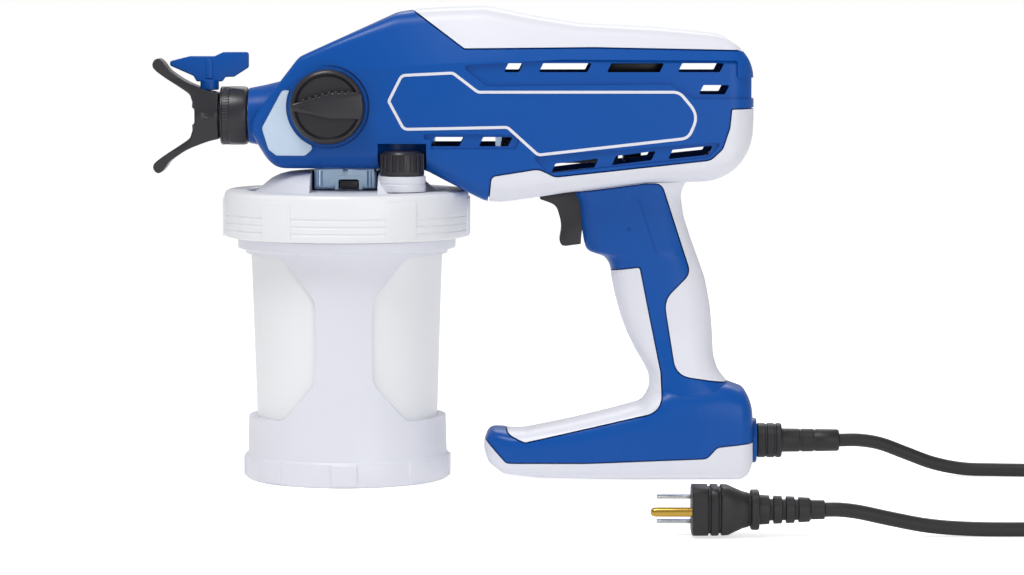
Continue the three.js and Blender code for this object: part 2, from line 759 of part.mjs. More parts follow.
function housing() {
  const body = bodyWalls();
  const handle = handleWalls();
  const without = (walls, outlines) => walls.subtract(joined(outlines.map((outline) => area(outline, SEAM))));
  const blueBody = without(body, [coverOutline, bellyOutline]);
  const blueHandle = without(handle, [frontGripOutline, rearGripOutline, footBaseOutline]);
  const post = (x, y) => rod("z", 3, GRIP_WALL / 2, BOARD_Z - SEAM, [x, y], 12);
  const posts = joined(POST_X.flatMap((x) => [post(x, -POST_Y), post(x, POST_Y)]));
  return [
    toMesh("body_shell_left", blueBody.intersect(leftSide), BLUE),
    toMesh("body_shell_right", blueBody.intersect(rightSide), BLUE),
    toMesh("top_cover", body.intersect(area(coverOutline)), WHITE),
    toMesh("rear_cover", body.intersect(area(bellyOutline)), WHITE),
    toMesh("handle_shell_left", blueHandle.intersect(leftSide), BLUE),
    toMesh("handle_shell_right", blueHandle.intersect(rightSide), BLUE),
    toMesh("front_grip", handle.intersect(area(frontGripOutline)), WHITE),
    toMesh("rear_grip", handle.intersect(area(rearGripOutline)), WHITE),
    toMesh("foot_base", handle.intersect(area(footBaseOutline)).add(posts), WHITE),
    dialPlate(),
  ];
}

// Pale plate that follows the nose and half surrounds the knob.
function dialPlate() {
  const outline = [
    [NOSE_X + 8, NOZZLE_Z - 4],
    [NOSE_X + 22, NOZZLE_Z + 18],
    [NOSE_X + 26.5, NOZZLE_Z + 17.5],
    [KNOB_X - 9, KNOB_Z + 6],
    [KNOB_X - 4, KNOB_Z - 10],
    [NOSE_X + 33, NOZZLE_Z - 15],
    [NOSE_X + 30.5, NOZZLE_Z - 19.5],
    [NOSE_X + 16, NOZZLE_Z - 19.5],
    [NOSE_X + 12.5, NOZZLE_Z - 17],
  ];
  const plate = bodySkin(-1.6, NOSE_X + 2)
    .subtract(bodySkin(-SEAM, NOSE_X + 1))
    .intersect(plateXZ(outline, -ACROSS, -7))
    .subtract(rod("y", BOSS_RADIUS + SEAM, -ACROSS, 0, [KNOB_X, KNOB_Z], 28));
  return toMesh("dial_plate", plate, PALE_GREY);
}

// ------------------------------------------------------------------ nozzle end
// A nut with shallow flutes for the fingers, turned about the nozzle line.
function guardNut() {
  const axis = [0, NOZZLE_Z];
  const reach = NUT_RADIUS + 0.9;
  const flutes = joined(
    range(0, 2 * Math.PI, 9)
      .slice(1)
      .map((a) => [reach * Math.cos(a), NOZZLE_Z + reach * Math.sin(a)])
      .map((centre) => rod("x", 2.6, NUT_FRONT_X - 1, NUT_REAR_X - 2, centre, 10)),
  );
  const body = rod("x", NUT_RADIUS, NUT_FRONT_X, NUT_REAR_X, axis, 28)
    .subtract(rod("x", FITTING_RADIUS + SEAM, NUT_FRONT_X - 1, NUT_REAR_X + 1, axis, 20))
    .subtract(flutes);
  return toMesh("guard_nut", body, BLACK);
}

// One prong: a curved, flaring vane seen from the side; sign is 1 above the nozzle line and -1 below.
function prong(sign) {
  const tip = HUB_FRONT_X - 22.4;
  const z = (rise) => NOZZLE_Z + sign * rise;
  const point = ([x, rise]) => new THREE.Vector2(x, z(rise));
  const outer = [
    [HUB_REAR_X - 3, HUB_RADIUS - 1],
    [HUB_FRONT_X, HUB_RADIUS + 0.5],
    [tip + 17, PRONG_REACH - 14],
    [tip + 8, PRONG_REACH - 7.5],
    [tip + 1, PRONG_REACH],
  ];
  const inner = [
    [tip - 0.5, PRONG_REACH - 2],
    [tip + 5, PRONG_REACH - 10],
    [tip + 13, PRONG_REACH - 18],
    [HUB_FRONT_X - 3, HUB_RADIUS - 7],
    [HUB_REAR_X - 8, HUB_RADIUS - 9],
  ];
  const shape = new THREE.Shape();
  shape.moveTo(...point(outer[0]).toArray());
  shape.splineThru(outer.slice(1).map(point));
  shape.lineTo(...point(inner[0]).toArray());
  shape.splineThru(inner.slice(1).map(point));
  const vane = plateXZ(shape, -PRONG_HALF_WIDTH, PRONG_HALF_WIDTH);
  const flare = turned(
    [
      [0, -40],
      [PRONG_REACH + 3, -40],
      [PRONG_REACH + 3, -4],
      [HUB_RADIUS + 1.5, 22],
      [HUB_RADIUS + 1.5, 60],
      [0, 60],
    ],
    24,
  ).rotate([0, 90, 0]);
  return vane.intersect(at(flare, HUB_FRONT_X - 17, 0, NOZZLE_Z));
}

function tipGuard() {
  const axis = [0, NOZZLE_Z];
  const hub = rod("x", HUB_RADIUS, HUB_FRONT_X, HUB_REAR_X, axis, 28);
  const [low, high] = [NOZZLE_Z - HUB_RADIUS - 12, NOZZLE_Z + HUB_RADIUS + 12];
  const body = joined([hub, prong(1), prong(-1)])
    .subtract(rod("x", FITTING_RADIUS + SEAM, FITTING_FRONT_X - SEAM, HUB_REAR_X + 1, axis, 20))
    .subtract(rod("z", TIP_BARREL_RADIUS + RUNNING, low, high, [TIP_X, 0]))
    .subtract(rod("x", 7, HUB_FRONT_X - 12, HUB_FRONT_X + 3, axis));
  return toMesh("tip_guard", body, BLACK);
}

// The reversible tip: a steel barrel with its orifice, and the flag that turns it.
const FLAG_BOTTOM_Z = NOZZLE_Z + HUB_RADIUS + 0.8;
function sprayTip() {
  const foot = NOZZLE_Z - HUB_RADIUS + 1;
  const barrel = rod("z", TIP_BARREL_RADIUS, foot, FLAG_BOTTOM_Z - SEAM, [TIP_X, 0]).subtract(
    rod("x", 1.2, TIP_X - 10, TIP_X + 10, [0, NOZZLE_Z], 12),
  );
  const outline = [
    [-FLAG_HALF_LENGTH, 14],
    [-9, 8],
    [-7.5, 5],
    [7.5, 5],
    [9, 7.5],
    [14, 7.5],
    [FLAG_HALF_LENGTH, 13],
    [FLAG_HALF_LENGTH, 22],
    [8, 22],
    [3, 19.5],
    [-11, 19.5],
    [-FLAG_HALF_LENGTH, 16],
  ].map(([x, z]) => [TIP_X + x, FLAG_BOTTOM_Z + z]);
  const collar = rod("z", 5.4, FLAG_BOTTOM_Z, FLAG_BOTTOM_Z + 7, [TIP_X, 0]);
  const flag = plateXZ(outline, -FLAG_THICKNESS / 2, FLAG_THICKNESS / 2).add(collar);
  return [toMesh("tip_barrel", barrel, STEEL), toMesh("tip_flag", flag, BLUE)];
}

// Threaded metal nose from the pump block to the tip, with the paint's way through it.
function outletFitting() {
  const body = rod("x", FITTING_RADIUS, FITTING_FRONT_X, BLOCK_FRONT_X - SEAM, [0, NOZZLE_Z], 20).subtract(
    rod("x", 2.5, FITTING_FRONT_X - 1, BLOCK_FRONT_X + 1, [0, NOZZLE_Z], 12),
  );
  return toMesh("outlet_fitting", body, STEEL);
}

// ------------------------------------------------------------------ selector
const KNOB_BACK_Y = BOSS_Y - SEAM;
function selector() {
  const disc = turned([
    [0, 0],
    [KNOB_RADIUS, 0],
    [KNOB_RADIUS, KNOB_DEPTH - 2],
    [KNOB_RADIUS - 2, KNOB_DEPTH],
    [0, KNOB_DEPTH],
  ]).rotate([90, 0, 0]);
  const bar = plateXZ(
    [
      [-KNOB_RADIUS + 1, -KNOB_BAR_WIDTH / 4],
      [-KNOB_RADIUS + 1, KNOB_BAR_WIDTH / 4],
      [-KNOB_RADIUS / 2, KNOB_BAR_WIDTH / 2],
      [KNOB_RADIUS - 3, KNOB_BAR_WIDTH / 2],
      [KNOB_RADIUS - 1, 0],
      [KNOB_RADIUS - 3, -KNOB_BAR_WIDTH / 2],
      [-KNOB_RADIUS / 2, -KNOB_BAR_WIDTH / 2],
    ],
    -KNOB_DEPTH - KNOB_BAR_DEPTH,
    -KNOB_DEPTH + 1,
  );
  const stem = rod("y", STEM_RADIUS, KNOB_BACK_Y + SEAM, -BLOCK_HALF_WIDTH + 9, [KNOB_X, KNOB_Z]);
  return [
    toMesh("selector_knob", at(disc.add(bar), KNOB_X, KNOB_BACK_Y, KNOB_Z), BLACK),
    toMesh("prime_valve_stem", stem, STEEL),
  ];
}

// ------------------------------------------------------------------ pump
function pump() {
  const body = blockBlank()
    .subtract(rod("z", PISTON_RADIUS + RUNNING, BLOCK_BOTTOM_Z + 3, CYLINDER_TOP_Z + 1, [PISTON_X, 0]))
    .subtract(rod("z", TUBE_RADIUS, BLOCK_BOTTOM_Z - 1, BLOCK_BOTTOM_Z + 9, [CUP_AXIS_X, 0]))
    .subtract(rod("y", STEM_RADIUS + RUNNING, -BLOCK_HALF_WIDTH - 1, 10 - BLOCK_HALF_WIDTH, [KNOB_X, KNOB_Z]))
    .subtract(rod("x", 2.5, BLOCK_FRONT_X - 1, BLOCK_FRONT_X + 10, [0, NOZZLE_Z], 12));
  const flangeTop = PUMP_BELLY_Z - 2;
  const mount = turned([
    [TUBE_RADIUS + SEAM, COVER_SEAT_Z + SEAM],
    [MOUNT_RADIUS - 1, COVER_SEAT_Z + SEAM],
    [MOUNT_RADIUS, COVER_SEAT_Z + 1.5],
    [MOUNT_RADIUS, flangeTop - 1],
    [MOUNT_RADIUS - 1, flangeTop],
    [MOUNT_NECK_RADIUS, flangeTop],
    [MOUNT_NECK_RADIUS, BLOCK_BOTTOM_Z - SEAM],
    [TUBE_RADIUS + SEAM, BLOCK_BOTTOM_Z - SEAM],
    [TUBE_RADIUS + SEAM, COVER_SEAT_Z + SEAM],
  ]);
  const seat = turned(
    [
      [1.8, 0],
      [TUBE_RADIUS - SEAM, 0],
      [TUBE_RADIUS - SEAM, 7],
      [3.2, 7],
      [1.8, 4],
      [1.8, 0],
    ],
    16,
  );
  return [
    toMesh("pump_block", body, CAST),
    toMesh("cup_mount", at(mount, CUP_AXIS_X, 0, 0), CAST),
    toMesh("inlet_valve_seat", at(seat, CUP_AXIS_X, 0, BLOCK_BOTTOM_Z + 1.5), STEEL),
  ];
}

// Scotch yoke on top of the piston; the crank pin turns just behind its slot.
const YOKE_HALF_HEIGHT = 7;
function piston() {
  const half = PISTON_STROKE / 2 + CRANK_PIN_RADIUS;
  const [front, rear] = [PISTON_X - PISTON_RADIUS, PISTON_X + PISTON_RADIUS];
  const room = CRANK_PIN_RADIUS + RUNNING;
  const slot = box(front - 1, rear + 1, -half - RUNNING, half + RUNNING, GEAR_Z - room, GEAR_Z + room);
  const [low, high] = [GEAR_Z - YOKE_HALF_HEIGHT, GEAR_Z + YOKE_HALF_HEIGHT];
  const yoke = box(front, rear, -half - 3.5, half + 3.5, low, high);
  const bottom = BLOCK_BOTTOM_Z + 3 + PISTON_STROKE / 2 + 1;
  const rodPiece = rod("z", PISTON_RADIUS, bottom, low - SEAM, [PISTON_X, 0]);
  return [toMesh("piston_yoke", yoke.subtract(slot), STEEL), toMesh("piston_rod", rodPiece, STEEL)];
}

// ------------------------------------------------------------------ drive
// A spur gear in the YZ plane, its teeth trapezoids from root to tip.
function spurGear(teeth, width, bore, turn) {
  const pitch = (GEAR_MODULE * teeth) / 2;
  const [root, tip] = [pitch - 1.25 * GEAR_MODULE, pitch + GEAR_MODULE];
  const step = (2 * Math.PI) / teeth;
  const outline = [];
  for (let i = 0; i < teeth; i++) {
    for (const [share, radius] of [
      [-0.3, root],
      [-0.13, tip],
      [0.13, tip],
      [0.3, root],
    ]) {
      const a = (i + share) * step + turn;
      outline.push(new THREE.Vector2(radius * Math.cos(a), radius * Math.sin(a)));
    }
  }
  const shape = new THREE.Shape(outline);
  shape.holes.push(new THREE.Path().absarc(0, 0, bore, 0, 2 * Math.PI, true));
  const geometry = new THREE.ExtrudeGeometry(shape, { depth: width, bevelEnabled: false, curveSegments: 7 });
  return solid(geometry).rotate([90, 0, 90]);
}

function motor() {
  const front = MOTOR_FRONT_X;
  const rear = MOTOR_FRONT_X + MOTOR_LENGTH;
  const airHole = (a) =>
    rod("x", 5, rear - 6, rear + 1, [15 * Math.sin(a), MOTOR_Z + 15 * Math.cos(a)], 12);
  const can = rod("x", MOTOR_RADIUS, front, rear - 5, [0, MOTOR_Z], 24)
    .subtract(rod("x", MOTOR_RADIUS - MOTOR_WALL, front + MOTOR_WALL, rear, [0, MOTOR_Z], 24))
    .subtract(rod("x", SHAFT_RADIUS + RUNNING, front - 1, rear, [0, MOTOR_Z], 12));
  const cap = rod("x", MOTOR_RADIUS, rear - 5 + SEAM, rear, [0, MOTOR_Z], 24)
    .subtract(rod("x", SHAFT_RADIUS + RUNNING, front, rear + 1, [0, MOTOR_Z], 12))
    .subtract(joined(range(0, 2 * Math.PI, 4).slice(1).map(airHole)));
  return [toMesh("motor_can", can, STEEL), toMesh("motor_end_cap", cap, BLACK)];
}

function rotor() {
  const front = MOTOR_FRONT_X;
  const rear = MOTOR_FRONT_X + MOTOR_LENGTH;
  const fanFront = rear + 3;
  const shaft = rod("x", SHAFT_RADIUS, GEAR_FRONT_X - 1, fanFront + FAN_WIDTH, [0, MOTOR_Z], 12);
  const armature = rod("x", MOTOR_RADIUS - MOTOR_WALL - 5, front + 10, rear - 14, [0, MOTOR_Z]).subtract(
    rod("x", SHAFT_RADIUS + SEAM, front, rear, [0, MOTOR_Z], 12),
  );
  const fanBore = rod("x", SHAFT_RADIUS + SEAM, -1, FAN_WIDTH + 1, [0, 0], 12);
  const hub = rod("x", 6, 0, FAN_WIDTH, [0, 0], 20).subtract(fanBore);
  const back = rod("x", FAN_RADIUS, 0, 1.5, [0, 0], 24).subtract(rod("x", 5, -1, 2, [0, 0], 12));
  const blades = range(0, 360, FAN_BLADES + 1)
    .slice(1)
    .map((deg) => box(0.5, FAN_WIDTH, -0.8, 0.8, 5, FAN_RADIUS - 0.5).rotate([deg, 0, 0]));
  const fan = joined([hub, back, ...blades]);
  const phase = Math.PI / 2 + Math.PI / PINION_TEETH;
  const pinion = spurGear(PINION_TEETH, GEAR_WIDTH + 1, SHAFT_RADIUS + SEAM, phase);
  return [
    toMesh("motor_shaft", shaft, STEEL),
    toMesh("armature", armature, STEEL),
    toMesh("cooling_fan", at(fan, fanFront, 0, MOTOR_Z), BLACK),
    toMesh("pinion", at(pinion, GEAR_FRONT_X - 0.5, 0, MOTOR_Z), STEEL),
  ];
}

function gearTrain() {
  const shaftRadius = 3;
  const gear = spurGear(GEAR_TEETH, GEAR_WIDTH, shaftRadius + SEAM, -Math.PI / 2);
  const rearPlate = box(REAR_PLATE_X, REAR_PLATE_X + PLATE_THICKNESS, -ACROSS, ACROSS, 100, 300)
    .intersect(roomForPlates)
    .subtract(rod("x", SHAFT_RADIUS + 2, REAR_PLATE_X - 1, MOTOR_FRONT_X, [0, MOTOR_Z], 20))
    .subtract(rod("x", shaftRadius + RUNNING, REAR_PLATE_X - 1, MOTOR_FRONT_X, [0, GEAR_Z], 20));
  const roomForPocket = rod(
    "z",
    POCKET_RADIUS + WALL + SEAM,
    PUMP_BELLY_Z - 10,
    POCKET_TOP_Z + WALL + SEAM,
    PURGE_PLACE,
  );
  const frontPlate = box(FRONT_PLATE_X, FRONT_PLATE_X + PLATE_THICKNESS, -ACROSS, ACROSS, 100, 300)
    .intersect(roomForPlates)
    .subtract(roomForPocket)
    .subtract(rod("x", shaftRadius + RUNNING, FRONT_PLATE_X - 1, FRONT_PLATE_X + 5, [0, GEAR_Z], 20));
  const pinFront = PISTON_X + PISTON_RADIUS + SEAM;
  const crank = joined([
    rod("x", shaftRadius, CRANK_REAR_X - 1, REAR_PLATE_X + PLATE_THICKNESS - 0.5, [0, GEAR_Z], 20),
    rod("x", CRANK_RADIUS, CRANK_REAR_X - 5, CRANK_REAR_X, [0, GEAR_Z], 24),
    rod("x", CRANK_PIN_RADIUS, pinFront, CRANK_REAR_X - 4, [PISTON_STROKE / 2, GEAR_Z]),
  ]);
  return {
    fixed: [toMesh("motor_plate", rearPlate, CAST), toMesh("bearing_plate", frontPlate, CAST)],
    turning: [
      toMesh("drive_gear", at(gear, GEAR_FRONT_X, 0, GEAR_Z), NYLON),
      toMesh("crankshaft", crank, STEEL),
    ],
  };
}

// ------------------------------------------------------------------ trigger
function trigger() {
  const [x, z] = [PIVOT_X, PIVOT_Z];
  const shape = new THREE.Shape();
  const spline = (points) => shape.splineThru(points.map(([a, b]) => new THREE.Vector2(x + a, z + b)));
  shape.moveTo(x - 29, z + 4);
  shape.quadraticCurveTo(x - 31, z + 2, x - 30, z + 0.8);
  spline([
    [-22, -2.5],
    [-19.3, -8],
    [-18.1, -15],
    [-19, -22.5],
  ]);
  shape.quadraticCurveTo(x - 19, z - 26, x - 15.5, z - 25.8);
  shape.lineTo(x - 7, z - 24.6);
  spline([
    [-6, -16],
    [-2, -8.5],
    [5.5, -3],
  ]);
  shape.lineTo(x + 5.5, z + 4);
  shape.lineTo(x, z + 5);
  const body = plateXZ(shape, -TRIGGER_HALF_WIDTH, TRIGGER_HALF_WIDTH).subtract(
    rod("y", PIN_RADIUS + RUNNING, -ACROSS, ACROSS, [x, z], 12),
  );
  return toMesh("trigger", body, BLACK);
}

function triggerWorks() {
  const pin = rod("y", PIN_RADIUS, -15.5, 15.5, [PIVOT_X, PIVOT_Z], 12);
  const plungerFront = PIVOT_X + 1.2;
  const plunger = rod("x", 2.5, plungerFront, SWITCH_FRONT_X + 7, [0, SWITCH_Z], 12);
  const [low, high] = [SWITCH_Z - SWITCH_HALF_HEIGHT, SWITCH_Z + SWITCH_HALF_HEIGHT];
  const casing = box(SWITCH_FRONT_X, SWITCH_FRONT_X + 26, -SWITCH_HALF_WIDTH, SWITCH_HALF_WIDTH, low, high);
  const body = casing.subtract(
    rod("x", 2.5 + RUNNING, SWITCH_FRONT_X - 1, SWITCH_FRONT_X + 12, [0, SWITCH_Z], 12),
  );
  return {
    pin: toMesh("trigger_pin", pin, STEEL),
    plunger: toMesh("switch_plunger", plunger, WHITE),
    body: toMesh("trigger_switch", body, BLACK),
  };
}

// ------------------------------------------------------------------ speed control board in the foot
function controlBoard() {
  const board = box(POST_X[0] - 6, POST_X[1] + 6, -POST_Y - 4, POST_Y + 4, BOARD_Z, BOARD_Z + 1.6);
  const capacitor = rod("z", 6, BOARD_Z + 1, BOARD_Z + 15, [92, 0], 24);
  const driver = box(108, 122, -2, 2, BOARD_Z + 1, BOARD_Z + 13);
  return toMesh("speed_control_board", joined([board, capacitor, driver]), BOARD);
}

// ------------------------------------------------------------------ cup
const CUP_TAPER = (CUP_TOP_RADIUS - CUP_BOTTOM_RADIUS) / (SUPPORT_HEIGHT - CUP_FLOOR);
const cupRadius = (z) => CUP_BOTTOM_RADIUS + CUP_TAPER * (z - CUP_FLOOR);
const FLANGE_RADIUS = CUP_TOP_RADIUS + CUP_FLANGE;
const RING_INNER = FLANGE_RADIUS + SEAM + 0.2;
const RING_RADIUS = RING_INNER + RING_WALL;

function cupLiner() {
  const rimBottom = SUPPORT_HEIGHT + SEAM;
  const profile = [
    [0, CUP_FLOOR],
    [CUP_BOTTOM_RADIUS - 3, CUP_FLOOR],
    [CUP_BOTTOM_RADIUS, CUP_FLOOR + 3],
    [CUP_TOP_RADIUS, rimBottom],
    [FLANGE_RADIUS, rimBottom],
    [FLANGE_RADIUS, rimBottom + CUP_WALL],
    [CUP_TOP_RADIUS - CUP_WALL, rimBottom + CUP_WALL],
    [CUP_BOTTOM_RADIUS - CUP_WALL, CUP_FLOOR + 4],
    [CUP_BOTTOM_RADIUS - CUP_WALL - 3, CUP_FLOOR + CUP_WALL],
    [0, CUP_FLOOR + CUP_WALL],
  ];
  return toMesh("cup", at(turned(profile, 28), CUP_AXIS_X, 0, 0), CLEAR);
}

// Open frame that carries the cup: a base with pads, two flared uprights and a threaded collar.
function cupSupport() {
  const inner = (z) => cupRadius(z) + SEAM;
  const profile = [
    [0, 1.5],
    [SUPPORT_BASE_RADIUS - 8, 1.5],
    [SUPPORT_BASE_RADIUS - 6, 0],
    [SUPPORT_BASE_RADIUS - 2, 0],
    [SUPPORT_BASE_RADIUS, 2],
    [SUPPORT_BASE_RADIUS, SUPPORT_BAND_HEIGHT],
    [SUPPORT_BASE_RADIUS - 1.3, SUPPORT_BAND_HEIGHT + 1],
    [SUPPORT_RADIUS, WINDOW_SILL_Z],
    [SUPPORT_RADIUS + 1.5, WINDOW_TOP_Z - 2],
    [FLANGE_RADIUS, WINDOW_TOP_Z],
    [FLANGE_RADIUS, SUPPORT_HEIGHT],
    [inner(SUPPORT_HEIGHT), SUPPORT_HEIGHT],
    [inner(CUP_FLOOR + 3), CUP_FLOOR + 3],
    [CUP_BOTTOM_RADIUS - 3, CUP_FLOOR - SEAM],
    [0, CUP_FLOOR - SEAM],
  ];
  const window = (side) => {
    const shape = new THREE.Shape();
    const x = (value) => side * value;
    const [narrow, wide] = [COLUMN_HALF_WIDTH, COLUMN_HALF_WIDTH + COLUMN_FLARE];
    const [low, high] = [WINDOW_SILL_Z + COLUMN_FLARE_HEIGHT, WINDOW_TOP_Z - COLUMN_FLARE_HEIGHT];
    shape.moveTo(x(90), WINDOW_TOP_Z);
    shape.lineTo(x(wide), WINDOW_TOP_Z);
    shape.bezierCurveTo(x(narrow + 4), WINDOW_TOP_Z, x(narrow), high + 10, x(narrow), high);
    shape.lineTo(x(narrow), low);
    shape.bezierCurveTo(x(narrow), low - 10, x(narrow + 4), WINDOW_SILL_Z, x(wide), WINDOW_SILL_Z);
    shape.lineTo(x(90), WINDOW_SILL_Z);
    return plateXZ(shape, -ACROSS, ACROSS);
  };
  const padReach = SUPPORT_BASE_RADIUS + PAD_PROUD;
  const pad = box(padReach - 4, padReach, -PAD_WIDTH / 2, PAD_WIDTH / 2, 1, SUPPORT_BAND_HEIGHT - 1);
  const pads = range(0, 360, PAD_COUNT + 1)
    .slice(1)
    .map((deg) => pad.rotate([0, 0, deg]));
  const body = turned(profile, 28)
    .subtract(window(1).add(window(-1)))
    .add(joined(pads))
    .rotate([0, 0, HOLDER_TURN]);
  return toMesh("cup_support", at(body, CUP_AXIS_X, 0, 0), WHITE);
}

function clampRing() {
  const bottom = RING_TOP_Z - RING_HEIGHT;
  const lipZ = RING_TOP_Z - RING_LIP;
  const profile = [
    [RING_INNER, bottom],
    [RING_RADIUS - 1, bottom],
    [RING_RADIUS, bottom + 2],
    [RING_RADIUS, RING_TOP_Z - 5],
    [RING_RADIUS - 4, RING_TOP_Z],
    [CUP_TOP_RADIUS, RING_TOP_Z],
    [CUP_TOP_RADIUS, lipZ],
    [RING_INNER, lipZ],
    [RING_INNER, bottom],
  ];
  return toMesh("clamp_ring", at(turned(profile, 28), CUP_AXIS_X, 0, 0), MILKY);
}

// Cover of the cup: a hollow dome with a notch for the pump's metal foot, and the purge opening.
function cupCover() {
  const rim = CUP_TOP_RADIUS - 1;
  const dome = turned([
    [0, COVER_LOW_Z],
    [FLANGE_RADIUS, COVER_LOW_Z],
    [FLANGE_RADIUS, COVER_LOW_Z + COVER_PLATE],
    [rim, COVER_LOW_Z + COVER_PLATE],
    [rim - 3.5, COVER_LOW_Z + COVER_PLATE + 2],
    [rim - 13, COVER_TOP_Z - 4],
    [rim - 22, COVER_TOP_Z - 0.7],
    [rim - 35, COVER_TOP_Z],
    [0, COVER_TOP_Z],
  ], 28);
  const ceiling = COVER_TOP_Z - COVER_PLATE;
  const hollow = turned([
    [0, COVER_LOW_Z - 1],
    [rim - 5, COVER_LOW_Z - 1],
    [rim - 6, COVER_LOW_Z + COVER_PLATE],
    [rim - 15, ceiling - 4],
    [rim - 23, ceiling - 0.7],
    [0, ceiling],
  ], 20);
  const notch = (grown, z) =>
    box(-MOUNT_RADIUS - grown, MOUNT_RADIUS + grown, -ACROSS, 0, z, COVER_TOP_Z + 1).add(
      rod("z", MOUNT_RADIUS + grown, z, COVER_TOP_Z + 1, [0, 0], 24),
    );
  const purge = [PURGE_X, PURGE_Y];
  const body = dome
    .subtract(hollow.subtract(notch(COVER_PLATE + 1, COVER_SEAT_Z - COVER_PLATE)))
    .subtract(notch(1, COVER_SEAT_Z))
    .add(rod("z", PURGE_RADIUS + PURGE_COLLAR, RING_TOP_Z + RUNNING, PURGE_Z - SEAM, purge, 24))
    .add(rod("z", PURGE_RADIUS - 4, PURGE_Z - 1, PURGE_Z + 7, purge, 20))
    .subtract(rod("z", TUBE_RADIUS + SEAM, COVER_LOW_Z - 1, COVER_TOP_Z, [0, 0], 24))
    .subtract(rod("z", 2, COVER_LOW_Z - 1, PURGE_Z + 8, purge, 12));
  return toMesh("cup_cover", at(body, CUP_AXIS_X, 0, 0), WHITE);
}

function purgeCap() {
  const z = PURGE_Z;
  const step = (2 * Math.PI) / PURGE_RIBS;
  const outline = [];
  for (let i = 0; i < PURGE_RIBS; i++) {
    for (const [share, drop] of [
      [-0.32, 1],
      [-0.2, 0],
      [0.2, 0],
      [0.32, 1],
    ]) {
      const [a, radius] = [(i + share) * step, PURGE_RADIUS - drop];
      outline.push(new THREE.Vector2(radius * Math.cos(a), radius * Math.sin(a)));
    }
  }
  const options = { depth: PURGE_HEIGHT - 2, bevelEnabled: false };
  const ribbed = solid(new THREE.ExtrudeGeometry(new THREE.Shape(outline), options));
  const body = at(ribbed, ...PURGE_PLACE, z)
    .add(rod("z", PURGE_RADIUS - 2, z + PURGE_HEIGHT - 3, z + PURGE_HEIGHT, PURGE_PLACE, 20))
    .subtract(rod("z", PURGE_RADIUS - 4 + RUNNING, z - 1, z + 7 + RUNNING, PURGE_PLACE, 20));
  return toMesh("purge_cap", body, BLACK);
}

function suction() {
  const bottom = CUP_FLOOR + CUP_WALL + STRAINER_HEIGHT + 4;
  const [axis, top] = [[CUP_AXIS_X, 0], COVER_SEAT_Z + 8];
  const tube = rod("z", TUBE_RADIUS, bottom, top, axis, 20).subtract(
    rod("z", TUBE_BORE_RADIUS, bottom - 1, top + 1, axis, 12),
  );
  const strainer = turned(
    [
      [0, 0],
      [STRAINER_RADIUS, 0],
      [STRAINER_RADIUS, STRAINER_HEIGHT - 3],
      [TUBE_RADIUS + 2.5, STRAINER_HEIGHT],
      [TUBE_RADIUS + 2.5, STRAINER_HEIGHT + 8],
      [TUBE_RADIUS + SEAM, STRAINER_HEIGHT + 8],
      [TUBE_RADIUS + SEAM, STRAINER_HEIGHT + 1],
      [TUBE_BORE_RADIUS, STRAINER_HEIGHT],
      [TUBE_BORE_RADIUS, 2],
      [0, 2],
    ],
    18,
  );
  return [
    toMesh("suction_tube", tube, NYLON),
    toMesh("strainer", at(strainer, CUP_AXIS_X, 0, bottom - STRAINER_HEIGHT - 1 - SEAM), WHITE),
  ];
}

// ------------------------------------------------------------------ cord, relief and plug
const RELIEF_FACE_X = FOOT_REAR_X + CORD_FLANGE + SEAM;
const CORD_START_X = RELIEF_FACE_X + RELIEF_LENGTH + SEAM;
const PLUG_REAR_X = PLUG_X + PLUG_LENGTH + 28;

// Rubber relief in two steps: a wide collar against the foot, then a slim sleeve round the cord.
function strainRelief() {
  const bore = CORD_RADIUS + SEAM;
  const profile = [
    [bore, -9],
    [SLEEVE_RADIUS, -9],
    [SLEEVE_RADIUS, 0],
    [RELIEF_RADIUS, 0],
    [RELIEF_RADIUS, RELIEF_COLLAR - 1],
    [RELIEF_RADIUS - 1, RELIEF_COLLAR],
    [SLEEVE_RADIUS, RELIEF_COLLAR],
    [SLEEVE_RADIUS - 0.5, RELIEF_LENGTH - 0.5],
    [SLEEVE_RADIUS - 1, RELIEF_LENGTH],
    [0, RELIEF_LENGTH],
    [0, RELIEF_LENGTH - 4],
    [bore, RELIEF_LENGTH - 4],
    [bore, -9],
  ];
  const body = turned(profile, 12).rotate([0, 90, 0]);
  return toMesh("strain_relief", at(body, RELIEF_FACE_X, 0, CORD_EXIT_Z), RUBBER);
}

// The cord's way: straight out, down to the floor, round in a wide bend and back to the plug.
const CORD_ROUTE = [
  [CORD_START_X, 0, CORD_EXIT_Z],
  [231, 0, 20.5],
  [243, 0, 18.4],
  [257, -0.3, 13.2],
  [273, -1, 7.4],
  [290, -2, 4.3],
  [308, -3.5, 3.9],
  [330, -6, 3.85],
  [370.4, -13.1, 3.85],
  [405.8, -33.6, 3.85],
  [432.2, -65, 3.85],
  [446.2, -103.5, 3.85],
  [446.2, -144.5, 3.85],
  [432.2, -183, 3.85],
  [405.8, -214.4, 3.85],
  [370.4, -234.9, 3.85],
  [330, -242, 3.85],
  [298, -242.6, 3.85],
  [268, -242, 3.95],
  [245, -241, 5.4],
  [225, -240.3, 9],
  [209, -240, 12.4],
  [199, -240, PLUG_Z],
  [PLUG_REAR_X + SEAM, PLUG_Y, PLUG_Z],
];

function powerCord() {
  const path = new THREE.CatmullRomCurve3(CORD_ROUTE.map((p) => new THREE.Vector3(...p)));
  const sides = 8;
  const section = new THREE.Shape(
    range(0, 2 * Math.PI, sides + 1)
      .slice(1)
      .map((a) => new THREE.Vector2(CORD_RADIUS * Math.cos(a), CORD_RADIUS * Math.sin(a))),
  );
  const steps = Math.ceil(path.getLength() / (6 * CORD_RADIUS));
  const geometry = new THREE.ExtrudeGeometry(section, { steps, extrudePath: path, bevelEnabled: false });
  return toMesh("power_cord", solid(geometry), RUBBER);
}

